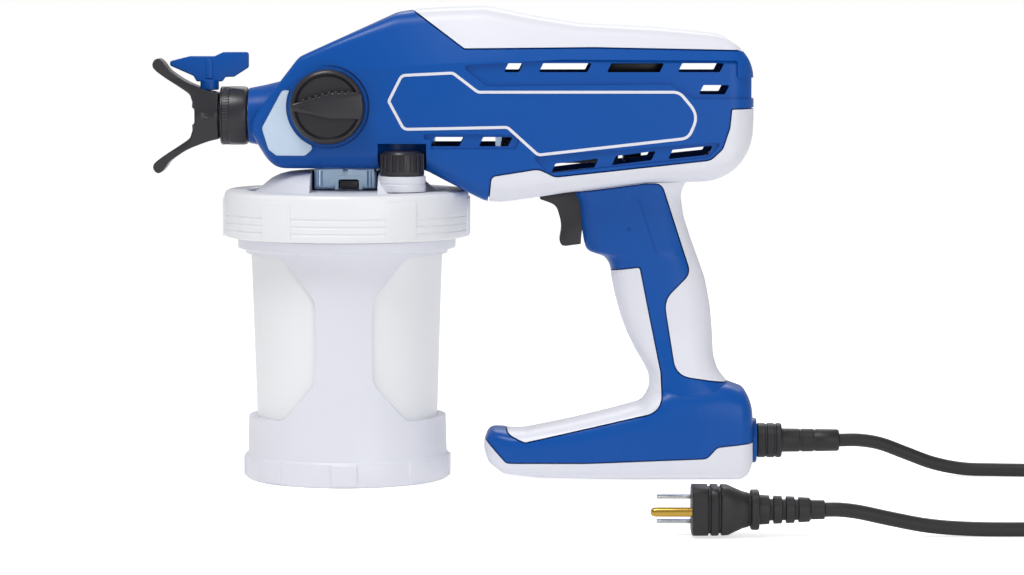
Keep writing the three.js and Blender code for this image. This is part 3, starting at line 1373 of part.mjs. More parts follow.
function plug() {
  const stations = [
    [0, 13, 12.9],
    [4, 13.2, 13.1],
    [5.5, 11.6, 11.6],
    [20, 11.2, 11.2],
    [26, 12.4, 12.4],
    [PLUG_LENGTH - 6, 12, 12],
    [PLUG_LENGTH - 1, 9.5, 9.5],
    [PLUG_LENGTH + 2, 7, 7],
    [PLUG_LENGTH + 28, CORD_RADIUS + 1.2, CORD_RADIUS + 1.2],
  ];
  const place = (x, y, z) => new THREE.Vector3(PLUG_X + x, PLUG_Y + y, PLUG_Z + z);
  const blank = skin(
    stations.map(([x, out, up]) =>
      squircle(16, x > PLUG_LENGTH ? 2 : 3.2, up, out, (y, z) => place(x, y, z)),
    ),
  );
  const root = PLUG_X + 5;
  const bladeY = PLUG_Y + 3;
  const pinY = bladeY - EARTH_PIN_OFFSET;
  const blade = (z, gap) => {
    const [wide, thick] = [BLADE_WIDTH / 2 + gap, BLADE_THICKNESS / 2 + gap];
    return box(PLUG_X - BLADE_LENGTH, root + gap, bladeY - wide, bladeY + wide, z - thick, z + thick);
  };
  const pin = (gap) =>
    rod("x", EARTH_PIN_RADIUS + gap, PLUG_X - EARTH_PIN_LENGTH, root + gap, [pinY, PLUG_Z], 20);
  const [upper, lower] = [PLUG_Z + BLADE_SPACING / 2, PLUG_Z - BLADE_SPACING / 2];
  const body = blank.subtract(joined([blade(upper, SEAM), blade(lower, SEAM), pin(SEAM)]));
  return [
    toMesh("plug_body", body, RUBBER),
    toMesh("plug_blade_upper", blade(upper, 0), STEEL),
    toMesh("plug_blade_lower", blade(lower, 0), STEEL),
    toMesh("plug_earth_pin", pin(0), BRASS),
  ];
}

// ------------------------------------------------------------------ assembly
const group = (name, ...pieces) => {
  const made = new THREE.Group();
  made.name = name;
  made.add(...pieces.flat());
  return made;
};

const train = gearTrain();
const works = triggerWorks();
const sprayer = group(
  "airless_paint_sprayer",
  group("housing_group", housing(), works.pin, works.body, controlBoard()),
  group("pump_group", pump(), outletFitting()),
  group("motor_group", motor(), train.fixed),
  group("rotor_group", rotor()),
  group("gear_group", train.turning),
  group("piston_group", piston()),
  group("selector_group", selector()),
  group("nut_group", guardNut()),
  group("guard_group", tipGuard(), group("tip_group", sprayTip())),
  group("trigger_group", trigger()),
  group("plunger_group", works.plunger),
  group("cover_group", cupCover(), suction(), group("purge_group", purgeCap())),
  group("cup_group", cupSupport(), clampRing(), cupLiner()),
  group("cord_group", strainRelief(), powerCord(), plug()),
);

export default sprayer;
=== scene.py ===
"""Hand-held airless paint sprayer: housing, nozzle end, selector, trigger, cup and cord."""
import math

import bmesh
import bpy
from mathutils import Matrix, Vector


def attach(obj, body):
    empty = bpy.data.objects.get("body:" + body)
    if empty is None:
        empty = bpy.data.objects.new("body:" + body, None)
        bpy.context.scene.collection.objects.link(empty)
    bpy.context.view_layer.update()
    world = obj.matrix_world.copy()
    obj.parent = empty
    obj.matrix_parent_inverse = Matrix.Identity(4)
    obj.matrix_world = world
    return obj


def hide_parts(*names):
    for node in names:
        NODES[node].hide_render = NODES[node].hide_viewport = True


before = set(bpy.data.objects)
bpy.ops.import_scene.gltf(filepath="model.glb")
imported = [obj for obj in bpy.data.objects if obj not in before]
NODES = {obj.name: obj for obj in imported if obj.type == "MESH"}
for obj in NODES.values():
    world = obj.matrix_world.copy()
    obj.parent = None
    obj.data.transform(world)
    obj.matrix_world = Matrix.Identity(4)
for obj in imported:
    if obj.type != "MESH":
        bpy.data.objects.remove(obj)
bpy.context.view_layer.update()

bl_info = {
    "name": "Airless paint sprayer",
    "version": (1, 0, 0),
    "blender": (4, 5, 0),
    "location": "3D View > Sidebar > Sprayer",
    "description": "Builds a hand-held airless paint sprayer from separate pieces",
    "category": "Add Mesh",
}

# Everything below is in millimetres until a piece is added to the scene.
MM = 0.001
NOZZLE_Z = 206  # height of the nozzle's axis
NOSE_X = -117  # front end of the housing
TAIL_X = 167.8  # rear end of the housing
CUP_X = -62  # axis of the cup
TIP_X = -139.6  # axis about which the tip turns
KNOB = (-71, 212)  # x and z of the knob's axis
KNOB_Y = -32.6  # y of the knob's seat
PURGE = (-29.5, -34)  # x and y of the purge cap's axis
PIVOT = (78, 158)  # x and z of the trigger's pin
CORD_Z = 20.5  # height at which the cord leaves the foot
WALL = 3  # thickness of the housing
BODY_GROOVE = 2.3  # depth of the line between two mouldings of the housing
HANDLE_GROOVE = 2  # and of the handle
HAIRLINE = 0.06  # gap that is left below that line
HALF_GAP = 0.2  # half of the gap between the left and the right shell
WIDE = 90  # further out than any piece of the sprayer


# ------------------------------------------------------------------ numbers
def lerp(a, b, t):
    """The value that lies a share t of the way from a to b."""
    return a + (b - a) * t


def clamp(t, low=0.0, high=1.0):
    return max(low, min(high, t))


def smooth(a, b, t):
    """0 before a, 1 after b, and a soft rise between them."""
    t = clamp((t - a) / (b - a))
    return t * t * (3 - 2 * t)


def eased(points, reach):
    """A curve through (t, value) points, straight between them and eased over a reach at each."""
    def straight(t):
        for (t0, v0), (t1, v1) in zip(points, points[1:]):
            if t <= t1:
                break
        return lerp(v0, v1, (t - t0) / (t1 - t0))

    def curve(t):
        samples = 12
        return sum(straight(t + reach * (2 * i / samples - 1)) for i in range(samples + 1)) / (samples + 1)
    return curve


def rounding(distance, radius):
    """How far a surface has drawn in where it rounds over by a radius and ends at distance 0."""
    if distance >= radius:
        return 0.0
    return radius - math.sqrt(max(0.0, radius ** 2 - (radius - distance) ** 2))


def bend(before, here, after, radius, most, parts):
    """Points that round a corner; the bend takes at most that share of the side before and after it."""
    back, ahead = before - here, after - here
    reach = min(radius / math.tan(back.angle(ahead) / 2), back.length * most, ahead.length * most)
    start, end = here + back.normalized() * reach, here + ahead.normalized() * reach
    shares = [k / parts for k in range(parts + 1)]
    return [start.lerp(here, t).lerp(here.lerp(end, t), t) for t in shares]


def arc(corners, steps=6):
    """A closed outline from (x, z) or (x, z, radius) corners, each corner rounded by its radius."""
    made = []
    for i, (x, z, *radius) in enumerate(corners):
        if not radius or not radius[0]:
            made.append((x, z))
            continue
        before, after = Vector(corners[i - 1][:2]), Vector(corners[(i + 1) % len(corners)][:2])
        made += [tuple(point) for point in bend(before, Vector((x, z)), after, radius[0], 0.49, steps)]
    return made


def spline(points, steps=6):
    """A smooth open line through points."""
    made = []
    last = len(points) - 1
    for i in range(last):
        p0, p1, p2, p3 = (Vector(points[clamp(j, 0, last)]) for j in (i - 1, i, i + 1, i + 2))
        for k in range(steps):
            t = k / steps
            made.append(tuple(0.5 * (2 * p1 + (p2 - p0) * t + (2 * p0 - 5 * p1 + 4 * p2 - p3) * t ** 2
                                     + (3 * p1 - p0 - 3 * p2 + p3) * t ** 3)))
    return made + [tuple(points[-1])]


def grown(outline, gap):
    """An outline of (x, z) points moved outwards by a gap."""
    area = sum(x * outline[(i + 1) % len(outline)][1] - z * outline[(i + 1) % len(outline)][0]
               for i, (x, z) in enumerate(outline))
    side = gap * math.copysign(1, area)
    made = []
    for i, (x, z) in enumerate(outline):
        before, here, after = Vector(outline[i - 1]), Vector((x, z)), Vector(outline[(i + 1) % len(outline)])
        a, b = (here - before).normalized(), (after - here).normalized()
        normal = Vector((a.y + b.y, -a.x - b.x))
        share = side / max(0.3, 1 + a.dot(b))
        made.append((x + normal.x * share, z + normal.y * share))
    return made


# ------------------------------------------------------------------ shapes
def tidy_up(bm):
    """Merges what lies together, closes the ends and turns the faces outwards."""
    bmesh.ops.remove_doubles(bm, verts=bm.verts, dist=1e-4)
    open_edges = [edge for edge in bm.edges if edge.is_boundary]
    if open_edges:
        bmesh.ops.holes_fill(bm, edges=open_edges, sides=0)
    bmesh.ops.recalc_face_normals(bm, faces=bm.faces)
    return bm


def loft(surface, along, around):
    """A closed skin: surface(u, v) gives a point, u runs along the piece and v once round it."""
    bm = bmesh.new()
    bmesh.ops.create_grid(bm, x_segments=along, y_segments=around, size=1)
    for vert in bm.verts:
        vert.co = surface((vert.co.x + 1) / 2, (vert.co.y + 1) / 2)
    return tidy_up(bm)


def sheet(outline, place):
    """One face with the outline's points, each put in space by place(a, b)."""
    bm = bmesh.new()
    bmesh.ops.create_circle(bm, cap_ends=True, radius=1, segments=len(outline))
    for vert, point in zip(list(bm.verts), outline):
        vert.co = place(*point)
    return bm


def raised(bm, way):
    """A plate made by pushing a face along a way."""
    made = bmesh.ops.extrude_face_region(bm, geom=list(bm.faces))["geom"]
    bmesh.ops.translate(bm, verts=[g for g in made if isinstance(g, bmesh.types.BMVert)], vec=way)
    bmesh.ops.recalc_face_normals(bm, faces=bm.faces)
    return bm


def side_plate(outline, y0, y1):
    """A plate whose outline is drawn in the side view."""
    return raised(sheet(outline, lambda x, z: Vector((x, y0, z))), Vector((0, y1 - y0, 0)))


def round_edges(bm, width, angle=30, segments=3):
    """Bevels the edges that are sharper than an angle, in degrees."""
    sharp = [e for e in bm.edges if e.is_manifold and e.calc_face_angle(0) > math.radians(angle)]
    bmesh.ops.bevel(bm, geom=sharp, offset=width, offset_type="OFFSET", segments=segments, profile=0.5,
                    affect="EDGES", clamp_overlap=True, material=-1)
    return bm


def block(x0, x1, y0, y1, z0, z1, width=0.0):
    bm = bmesh.new()
    bmesh.ops.create_cube(bm, size=1)
    bmesh.ops.scale(bm, vec=(x1 - x0, y1 - y0, z1 - z0), verts=bm.verts)
    bmesh.ops.translate(bm, vec=((x0 + x1) / 2, (y0 + y1) / 2, (z0 + z1) / 2), verts=bm.verts)
    return round_edges(bm, width) if width else bm


AXES = {"x": Matrix.Rotation(math.pi / 2, 4, "Y"), "y": Matrix.Rotation(math.pi / 2, 4, "X"),
        "z": Matrix.Identity(4)}


def moved(bm, place, turn=None):
    bmesh.ops.transform(bm, matrix=Matrix.Translation(place) @ (turn or Matrix.Identity(4)), verts=bm.verts)
    return bm


def turned(profile, axis="z", place=(0, 0, 0), steps=96):
    """A piece turned from (radius, height) points; its height runs along +X, -Y or +Z."""
    bm = bmesh.new()
    bmesh.ops.create_circle(bm, cap_ends=False, radius=1, segments=len(profile))
    for vert, (radius, height) in zip(list(bm.verts), profile):
        vert.co = (radius, 0, height)
    bmesh.ops.spin(bm, geom=list(bm.verts) + list(bm.edges), cent=(0, 0, 0), axis=(0, 0, 1), dvec=(0, 0, 0),
                   angle=2 * math.pi, steps=steps, use_merge=True)
    bmesh.ops.remove_doubles(bm, verts=bm.verts, dist=1e-4)
    bmesh.ops.dissolve_degenerate(bm, dist=1e-5, edges=bm.edges)
    bmesh.ops.recalc_face_normals(bm, faces=bm.faces)
    return moved(bm, place, AXES[axis])


def rod(axis, radius, start, end, centre, steps=64, edge=0.0):
    """A rod along an axis, its ends' edges rounded by edge; centre holds the other two coordinates."""
    flip = axis == "y"
    low, high = (-end, -start) if flip else (start, end)
    ends = [(radius, low + edge), (radius - edge, low)] if edge else [(radius, low)]
    tops = [(radius - edge, high), (radius, high - edge)] if edge else [(radius, high)]
    a, b = centre
    place = {"x": (0, a, b), "y": (a, 0, b), "z": (a, b, 0)}[axis]
    return turned([(0, high), *tops, *ends, (0, low)], axis, place, steps)


def placed(name, data):
    """An object in the scene's own collection."""
    made = bpy.data.objects.new(name, data)
    bpy.context.scene.collection.objects.link(made)
    return made


def temporary(bm):
    mesh = bpy.data.meshes.new("part")
    bm.to_mesh(mesh)
    return placed("part", mesh)


def boolean(bm, tool, operation):
    """bm with the tool taken away, added or kept in common; the tool is used up."""
    base, other = temporary(bm), temporary(tool)
    change = base.modifiers.new("change", "BOOLEAN")
    change.operation, change.solver, change.object = operation, "MANIFOLD", other
    bpy.context.view_layer.update()
    result = base.evaluated_get(bpy.context.evaluated_depsgraph_get()).to_mesh()
    if not result.polygons:
        raise RuntimeError(f"nothing is left after {operation}")
    bm.clear()
    bm.from_mesh(result)
    tool.free()
    for part in (base, other):
        mesh = part.data
        bpy.data.objects.remove(part)
        bpy.data.meshes.remove(mesh)
    return bm


def cut(bm, *tools):
    for tool in tools:
        boolean(bm, tool, "DIFFERENCE")
    return bm


def join(bm, *tools):
    for tool in tools:
        boolean(bm, tool, "UNION")
    return bm


def common(bm, tool):
    return boolean(bm, tool, "INTERSECT")


def together(*parts):
    """Separate shapes in one mesh, without merging their skins."""
    first = parts[0]
    for part in parts[1:]:
        mesh = bpy.data.meshes.new("part")
        part.to_mesh(mesh)
        first.from_mesh(mesh)
        part.free()
        bpy.data.meshes.remove(mesh)
    return first


def around(make, count, start=0.0, centre=(0, 0, 0), axis="Z"):
    """Copies of what make() returns, turned evenly about an axis through centre."""
    parts = []
    for i in range(count):
        part = make()
        bmesh.ops.rotate(part, cent=centre, verts=part.verts,
                         matrix=Matrix.Rotation(start + 2 * math.pi * i / count, 3, axis))
        parts.append(part)
    return together(*parts)


def add_piece(name, bm, look, body, replaced=(), angle=30):
    """Puts a shape in the scene as a finished piece that rides on a body of the frame."""
    bmesh.ops.scale(bm, vec=(MM, MM, MM), verts=bm.verts)
    mesh = bpy.data.meshes.new(name)
    bm.to_mesh(mesh)
    bm.free()
    mesh.materials.append(finish(look))
    piece = placed(name, mesh)
    for polygon in mesh.polygons:
        polygon.use_smooth = True
    mesh.set_sharp_from_angle(angle=math.radians(angle))
    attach(piece, body)
    if replaced:
        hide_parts(*replaced)
    return piece


# ------------------------------------------------------------------ materials
def linear(code):
    """A colour written as RRGGBB in sRGB, as the linear colour that a shader takes."""
    parts = [int(code[i:i + 2], 16) / 255 for i in (0, 2, 4)]
    return (*(c / 12.92 if c <= 0.04045 else ((c + 0.055) / 1.055) ** 2.4 for c in parts), 1)


def empty_tree(owner):
    """The node tree of a material or a world, with nothing in it."""
    owner.use_nodes = True
    owner.node_tree.nodes.clear()
    return owner.node_tree


def add_node(tree, kind, settings=None, links=None, **values):
    """Adds a node with its settings, its links and the sockets that stay constant."""
    made = tree.nodes.new(kind)
    for name, value in (settings or {}).items():
        setattr(made, name, value)
    for name, value in values.items():
        made.inputs[name.replace("_", " ")].default_value = value
    for name, source in (links or {}).items():
        tree.links.new(source, made.inputs[name])
    return made


# in metres, as the Object coordinates are
GLOSS_PATCH = 1 / 45
GRAIN_SIZE = 0.4 * MM
GRAIN_DEPTH = 0.1 * MM


def plain(name, colour, roughness, metallic=0.0, grain=0.0, streak=0.0, **sockets):
    """A shader with the grain of the mould or the cast and a slow change of gloss."""
    made = bpy.data.materials.new(name)
    tree = empty_tree(made)
    place = add_node(tree, "ShaderNodeTexCoord").outputs["Object"]
    shader = add_node(tree, "ShaderNodeBsdfPrincipled", Base_Color=colour, Roughness=roughness, Metallic=metallic,
                      **sockets)
    if streak:
        clouds = add_node(tree, "ShaderNodeTexNoise", None, {"Vector": place}, Scale=1 / GLOSS_PATCH, Detail=3.0)
        gloss = add_node(tree, "ShaderNodeMapRange", None, {"Value": clouds.outputs["Fac"]},
                         From_Min=0.1, From_Max=0.9, To_Min=roughness - streak, To_Max=roughness + streak)
        tree.links.new(gloss.outputs["Result"], shader.inputs["Roughness"])
    if grain:
        texture = add_node(tree, "ShaderNodeTexNoise", None, {"Vector": place}, Scale=1 / GRAIN_SIZE, Detail=2.0)
        bump = add_node(tree, "ShaderNodeBump", None, {"Height": texture.outputs["Fac"]}, Strength=grain,
                        Distance=GRAIN_DEPTH)
        tree.links.new(bump.outputs["Normal"], shader.inputs["Normal"])
    add_node(tree, "ShaderNodeOutputMaterial", None, {"Surface": shader.outputs["BSDF"]})
    return made


LOOKS = {
    # moulded ABS, glossy: a soft highlight with a faint spark grain from the mould
    "blue_plastic": dict(colour="0450A5", roughness=0.3, grain=0.12, streak=0.03, Specular_IOR_Level=0.25),
    # the same plastic in white: a slightly broader highlight
    "white_plastic": dict(colour="E4E5EE", roughness=0.36, grain=0.1, streak=0.04),
    # pale plate by the knob: matt, with a fine grain
    "pale_plastic": dict(colour="C6D8EE", roughness=0.42, grain=0.12),
    # glass-filled nylon: dark, a dull sheen
    "black_plastic": dict(colour="26242A", roughness=0.3, grain=0.12, streak=0.05),
    # natural polypropylene: light goes a little way in, so its edges glow
    "milky_plastic": dict(colour="F7F8FC", roughness=0.3, grain=0.08, Transmission_Weight=0.08, IOR=1.49),
    # thin polyethylene liner: milky and see-through
    "clear_liner": dict(colour="F8F9FC", roughness=0.3, Transmission_Weight=0.06, IOR=1.5),
    # soft PVC of cord and plug: black with a dull sheen
    "black_rubber": dict(colour="1D1C1F", roughness=0.46, grain=0.15),
    # ground and plated steel: bright, blurred by fine grinding
    "steel": dict(colour="C2C5C9", roughness=0.26, metallic=1.0, streak=0.05),
    # die-cast aluminium, grainy: the grey metal is given a pale blue colour, a painted bluish reflection
    "cast_metal": dict(colour="AFC6DE", roughness=0.28, metallic=1.0, grain=0.2, streak=0.08),
    # turned brass of the earth pin: warm, bright
    "brass": dict(colour="C8A24C", roughness=0.25, metallic=1.0, streak=0.05),
    # natural nylon: warm white, slightly waxy
    "nylon": dict(colour="E3DECD", roughness=0.45, grain=0.1),
    # lacquered glass-fibre board: green, smooth
    "circuit_board": dict(colour="1D6B3C", roughness=0.4),
}
FINISHES = {}


def finish(name):
    """The material of that name, made once; the user's own colour is taken where there is one."""
    if name not in FINISHES:
        look = dict(LOOKS[name])
        look["colour"] = getattr(bpy.context.scene.sprayer_colours, name, None) or linear(look["colour"])
        FINISHES[name] = plain(name, **look)
    return FINISHES[name]


# ------------------------------------------------------------------ what a user would change
def tint(label, name, description):
    """A colour setting that starts from the look's own colour."""
    return bpy.props.FloatVectorProperty(name=label, description=description, default=linear(LOOKS[name]["colour"]),
                                         subtype="COLOR", size=4, min=0, max=1)


class SprayerSizes(bpy.types.PropertyGroup):
    """Sizes of the sprayer that its user would change."""
    cord_thickness: bpy.props.FloatProperty(
        name="Cord thickness", description="Outer diameter of the power cord", default=0.0075, min=0.006, max=0.0077,
        precision=4, unit="LENGTH", subtype="DISTANCE")
    seam_width: bpy.props.FloatProperty(
        name="Seam width", description="Width of the dark line between two mouldings", default=0.0009, min=0.0004,
        max=0.0016, precision=4, unit="LENGTH", subtype="DISTANCE")
    line_width: bpy.props.FloatProperty(
        name="Side line width", description="Width of the white line that frames each side", default=0.0016,
        min=0.0006, max=0.0025, precision=4, unit="LENGTH", subtype="DISTANCE")
    key_power: bpy.props.FloatProperty(
        name="Key light", description="Power of the lamp above the sprayer", default=20, min=0, max=200,
        unit="POWER")


class SprayerColours(bpy.types.PropertyGroup):
    """Colours of the sprayer that its user would change."""
    blue_plastic: tint("Blue shells", "blue_plastic", "Colour of the housing, the handle and the tip flag")
    white_plastic: tint("White mouldings", "white_plastic", "Colour of the covers, the grips and the cup holder")
    black_plastic: tint("Black mouldings", "black_plastic", "Colour of the guard, the knob and the trigger")
    milky_plastic: tint("Clamp ring", "milky_plastic", "Colour of the ring that clamps the cup")
    black_rubber: tint("Cord", "black_rubber", "Colour of the cord, its relief and the plug")


def size_mm(name):
    """One of the user's lengths, in the millimetres that the pieces are made in."""
    return getattr(bpy.context.scene.sprayer_sizes, name) / MM


# ------------------------------------------------------------------ housing
def side_view(corners, scale=0.985, x_shift=0.48, z_shift=0.24):
    """Corners read from the side view, brought to the real size of the side that lies nearer."""
    return [(x * scale + x_shift, z * scale + z_shift, *rest) for x, z, *rest in corners]


def grip_view(corners):
    """The same for the handle, which is slimmer."""
    return side_view(corners, 0.99, 0.32, -0.6)


BODY_TOP = eased([(-125, 197), (-114, 204.5), (-98.6, 225.4), (-87.5, 239.9), (-32.5, 264.8),
                  (-20, 266.6), (-5, 267.6), (18, 268.2), (45, 262.6), (70, 258.5), (112, 256.3), (155.6, 252),
                  (180, 250.5)], 1.6)
BODY_BOTTOM = eased([(-125, 205), (-114, 197), (-109, 186), (-103, 178.8), (-98, 176.9), (-18, 176.9),
                     (17, 158.7), (27, 158.3), (45, 160.9), (61, 163.4), (108, 169.4), (180, 170)], 3)
BODY_WIDTH = eased([(-125, 26), (-105, 29), (-71, 32.5), (-45, 34.2), (-5, 36.6), (120, 36.6), (180, 35.5)], 7)
CREASE = eased([(-125, 203), (-100, 219), (-86, 229), (-71.8, 231.4), (-6.8, 236), (28.5, 237.6), (162, 235.6),
                (180, 235)], 4)


def body_section(x, wall=0.0):
    """Half of the body's section at x: (y, z) from the keel up the side and over to the crown."""
    top = BODY_TOP(x) - rounding(TAIL_X - x, 25) - wall
    low = BODY_BOTTOM(x) + rounding(TAIL_X - x, 30) + wall
    half = BODY_WIDTH(x) - rounding(TAIL_X - x, 14) - rounding(x + 115.5, 9) - wall
    crease = min(CREASE(x), top - 3)
    crease = max(crease, low + 3)
    lean = lerp(0.16, 0.44, smooth(-75, 5, x)) * (top - crease)
    keel = min(11, half * 0.4, (crease - low) * 0.6)
    shoulder = min(12, 0.8 * lean + 3.2, half * 0.5)
    places = [Vector(p) for p in ((0, low), (half, low), (half, crease), (half - lean, top - 0.1 * lean), (0, top))]
    made = places[:1]
    for i, radius, parts in ((1, keel, 7), (2, min(1.6, keel), 4), (3, shoulder, 8)):
        made += bend(*places[i - 1:i + 2], radius, 0.48, parts)
    return made + places[-1:]


def body_loft(wall=0.0, along=120):
    """The body's skin, or a skin that lies a wall further in."""
    first, last = -115.2 + wall, TAIL_X - wall
    count = len(body_section(0))
    ring = 2 * (count - 1)
    cache = {}

    def surface(u, v):
        # more stations where the nose and the tail round over
        t = 0.5 - 0.5 * math.cos(math.pi * u)
        x = lerp(first, last, lerp(u, t, 0.8))
        if u not in cache:
            cache[u] = body_section(x, wall)
        i = round(v * ring) % ring
        y, z = cache[u][i] if i < count else cache[u][ring - i]
        return Vector((x, -y if i < count else y, z))
    return loft(surface, along, ring)


def nose_cone(wall=0.0):
    """The round nose round the nozzle's axis."""
    profile = spline([(15.6, -117), (16.4, -113), (17.6, -107), (19.6, -99), (22, -90), (24, -80)], 5)
    front = NOSE_X + wall
    return turned([(0, -80), (0, front), *((r - wall, max(x, front)) for r, x in profile)], "x", (0, 0, NOZZLE_Z))


COVER = arc(side_view([(-23.5, 269.6, 0), (5, 248.2, 3), (79, 248.9, 30), (195, 246.6, 0), (195, 300, 0),
                       (-55, 300, 0), (-34, 278, 0)]))
BELLY = arc(side_view([(16, 141), (19.3, 163), (20.6, 175.2, 3), (47, 179.4, 9), (56.5, 174.8, 8), (145, 184.4, 8),
             (152, 191, 6), (156, 203, 8), (157, 213.4, 1), (195, 214), (195, 141)]))
UPPER_Z, TAIL_VENT_Z, LOWER_Z = 233.9, 221.6, 192.6
# front end, rear end, height, climb and opening of each vent
VENTS = [(27.5, 38.4, UPPER_Z, 0, 5), (47, 76.6, UPPER_Z, 0, 5), (85, 117, UPPER_Z, 0, 5),
         (124.6, 150.6, UPPER_Z, 0, 5), (136.4, 153.6, TAIL_VENT_Z, 0, 5.2), (-13.6, 5.2, LOWER_Z, 0, 5.2),
         (13.4, 32.4, LOWER_Z, 0, 5.2), (53.8, 80.6, 179.2, 1.5, 5.2), (87.6, 112.6, 183.4, 1.4, 5.2),
         (119.2, 144.4, 186.6, 1.2, 5.2)]
CHANNELS = [[(3.5, 235.2, 2), (17.5, 223.6, 2), (120, 224.6, 2), (133, 216.4, 3), (200, 216.4, 0), (200, 227.4, 0),
             (158, 228.4, 1), (158, 237.8, 1.5), (60, 238.4, 20)],
            [(-18.5, 197, 2), (-14, 188.4, 2), (34, 188.4, 2), (38, 196.4, 2)],
            [(43, 184.4, 2), (52, 174.8, 3), (142, 183.6, 4), (150, 192.4, 2)]]


def vent(front, back, z, climb, height):
    """A slanted slot through both sides."""
    lean = height / 2
    return side_plate(arc([(front, z - lean - climb, 0.8), (back - lean, z - lean + climb, 0.8),
                           (back, z + lean + climb, 0.8), (front + lean, z + lean - climb, 0.8)], 3), -WIDE, WIDE)


def body_walls():
    """The whole housing as one hollow shape, with its channels, openings and vents."""
    outer = join(body_loft(), nose_cone())
    inner = join(body_loft(WALL), nose_cone(WALL))
    walls = cut(outer, inner)
    shallow = body_loft(1.5)
    for channel in CHANNELS:
        cut(walls, cut(side_plate(arc(channel), -WIDE, WIDE), shallow.copy()))
    shallow.free()
    # the pocket that the purge cap rises into
    join(walls, common(rod("z", 16.1, 160, 193.8, PURGE), body_loft(0.05, 90)))
    cut(walls, rod("z", 13.7, 150, 191.4, PURGE),
        rod("x", 10.2, -125, -84, (0, NOZZLE_Z)),
        rod("z", 18.4, 150, 183, (CUP_X, 0)),
        rod("y", 4.4, -80, -10, KNOB))
    # the seat of the knob: a flat ring with a groove round it
    cut(walls, cut(rod("y", 23.4, -80, -31.4, KNOB), rod("y", 22.3, -81, -20, KNOB)))
    return cut(walls, *(vent(*slot) for slot in VENTS))


def plates(outline, gap):
    """What lies inside an outline of the side view, from one side of the sprayer to the other."""
    return side_plate(grown(outline, gap) if gap else outline, -WIDE, WIDE)


def halves(bm):
    """The left and the right half of a shape, a little apart."""
    left = common(bm.copy(), block(-300, 300, -100, -HALF_GAP, -50, 320))
    return left, common(bm, block(-300, 300, HALF_GAP, 100, -50, 320))


def add_shells(name, bm):
    """The two blue shells of the body or of the handle."""
    for side, half in zip(("left", "right"), halves(bm)):
        add_piece(f"{name}_{side}", half, "blue_plastic", "housing", [f"{name}_shell_{side}"])


def divided(walls, outlines, deep, line):
    """Divides walls along outlines: the pieces inside them, then what is left, with a groove at each seam."""
    inside = [common(walls.copy(), plates(outline, 0)) for outline in outlines]
    rest = cut(walls, *(plates(outline, HAIRLINE) for outline in outlines))
    for outline in outlines:
        cut(rest, cut(plates(outline, line), deep.copy()))
    return *inside, rest


def make_body():
    cover, belly, blue = divided(body_walls(), (COVER, BELLY), body_loft(BODY_GROOVE), size_mm("seam_width"))
    add_shells("body", blue)
    add_piece("crown_cover", cover, "white_plastic", "housing", ["top_cover"])
    cut(belly, block(46, 92, -9.4, 9.4, 150, 164.4))  # room for the trigger
    add_piece("belly_cover", belly, "white_plastic", "housing", ["rear_cover"])
    # the moulded white line on each side
    line = arc([(-36.9, 215.2, 2), (-29.6, 229.6, 4), (-1, 231, 4), (13, 220.3, 4), (125.5, 220.3, 8),
                (136.2, 207.4, 12), (130.6, 194.6, 7), (46.6, 185.2, 4), (29.5, 200.7, 4), (-28.5, 199.5, 4)], 8)
    half = size_mm("line_width") / 2
    ring = cut(plates(line, half), plates(line, -half))
    band = cut(common(ring, body_loft(-0.22)), body_loft(0.25))
    add_piece("side_line", band, "white_plastic", "housing")
    # pale plate in front of the knob
    dial = arc([(-108.3, 200, 4), (-96.6, 221.4, 3), (-90.5, 221, 2), (-84, 214, 2), (-80, 188, 2), (-84, 184.6, 3),
                (-100.4, 184.6, 3), (-104.6, 188, 3)])
    beyond = join(rod("y", 23.6, -WIDE, WIDE, KNOB), block(-200, 200, 0, 100, 100, 300))
    plate = cut(common(plates(dial, 0), cut(body_loft(-0.7), body_loft(0.1))), beyond.copy())
    rim = cut(common(cut(plates(dial, 1.1), plates(dial, 0.25)), cut(body_loft(-1), body_loft(0.1))), beyond)
    add_piece("dial_rim", rim, "blue_plastic", "housing")
    # dark part of the motor's cooling duct, seen through the third vent
    duct = round_edges(block(83, 119, -19, 19, 229.8, 240.6), 2.4)
    add_piece("cooling_duct", duct, "black_plastic", "housing")
    add_piece("dial_plate", plate, "pale_plastic", "housing", ["dial_plate"])


HANDLE_FRONT = eased([(20, 104), (42, 104.5), (46.7, 107.9), (51, 109.9), (55, 110.4), (60, 109.4), (65, 107),
                      (73, 102.2), (82.3, 97.6), (92, 93.9), (104, 90.6), (115.5, 88.3), (119.6, 88), (122.6, 87),
                      (126, 84.5), (127.5, 81), (128.3, 77), (129.5, 74), (131.6, 72.4), (134.5, 71.8), (157, 70),
                      (173, 62)], 0.8)
HANDLE_REAR = eased([(20, 163), (50, 159), (56, 153.5), (62, 149), (70, 146.7), (84, 146), (98, 144.8),
                     (113.4, 141.9), (127, 137), (137, 133.4), (149, 129.4), (161, 127.7), (167, 129.4),
                     (173, 135)], 2.2)
HANDLE_WIDTH = eased([(20, 26), (50, 24), (65, 20.4), (80, 17.8), (115, 17.6), (138, 20), (173, 23)], 7)


def ring_point(v, power):
    """A point on a ring that is round at power 2 and squarer above it, as shares of its half width and height."""
    angle = 2 * math.pi * v
    c, s = math.cos(angle), math.sin(angle)
    return math.copysign(abs(c) ** (2 / power), c), math.copysign(abs(s) ** (2 / power), s)


def handle_loft(wall=0.0):
    def surface(u, v):
        z = lerp(20, 176, u)
        front, rear = HANDLE_FRONT(z) + wall, HANDLE_REAR(z) - wall
        a, b = ring_point(v, lerp(2.6, 3.4, smooth(125, 150, z)))
        return Vector(((front + rear) / 2 + b * (rear - front) / 2, a * (HANDLE_WIDTH(z) - wall), z))
    return loft(surface, 156, 72)


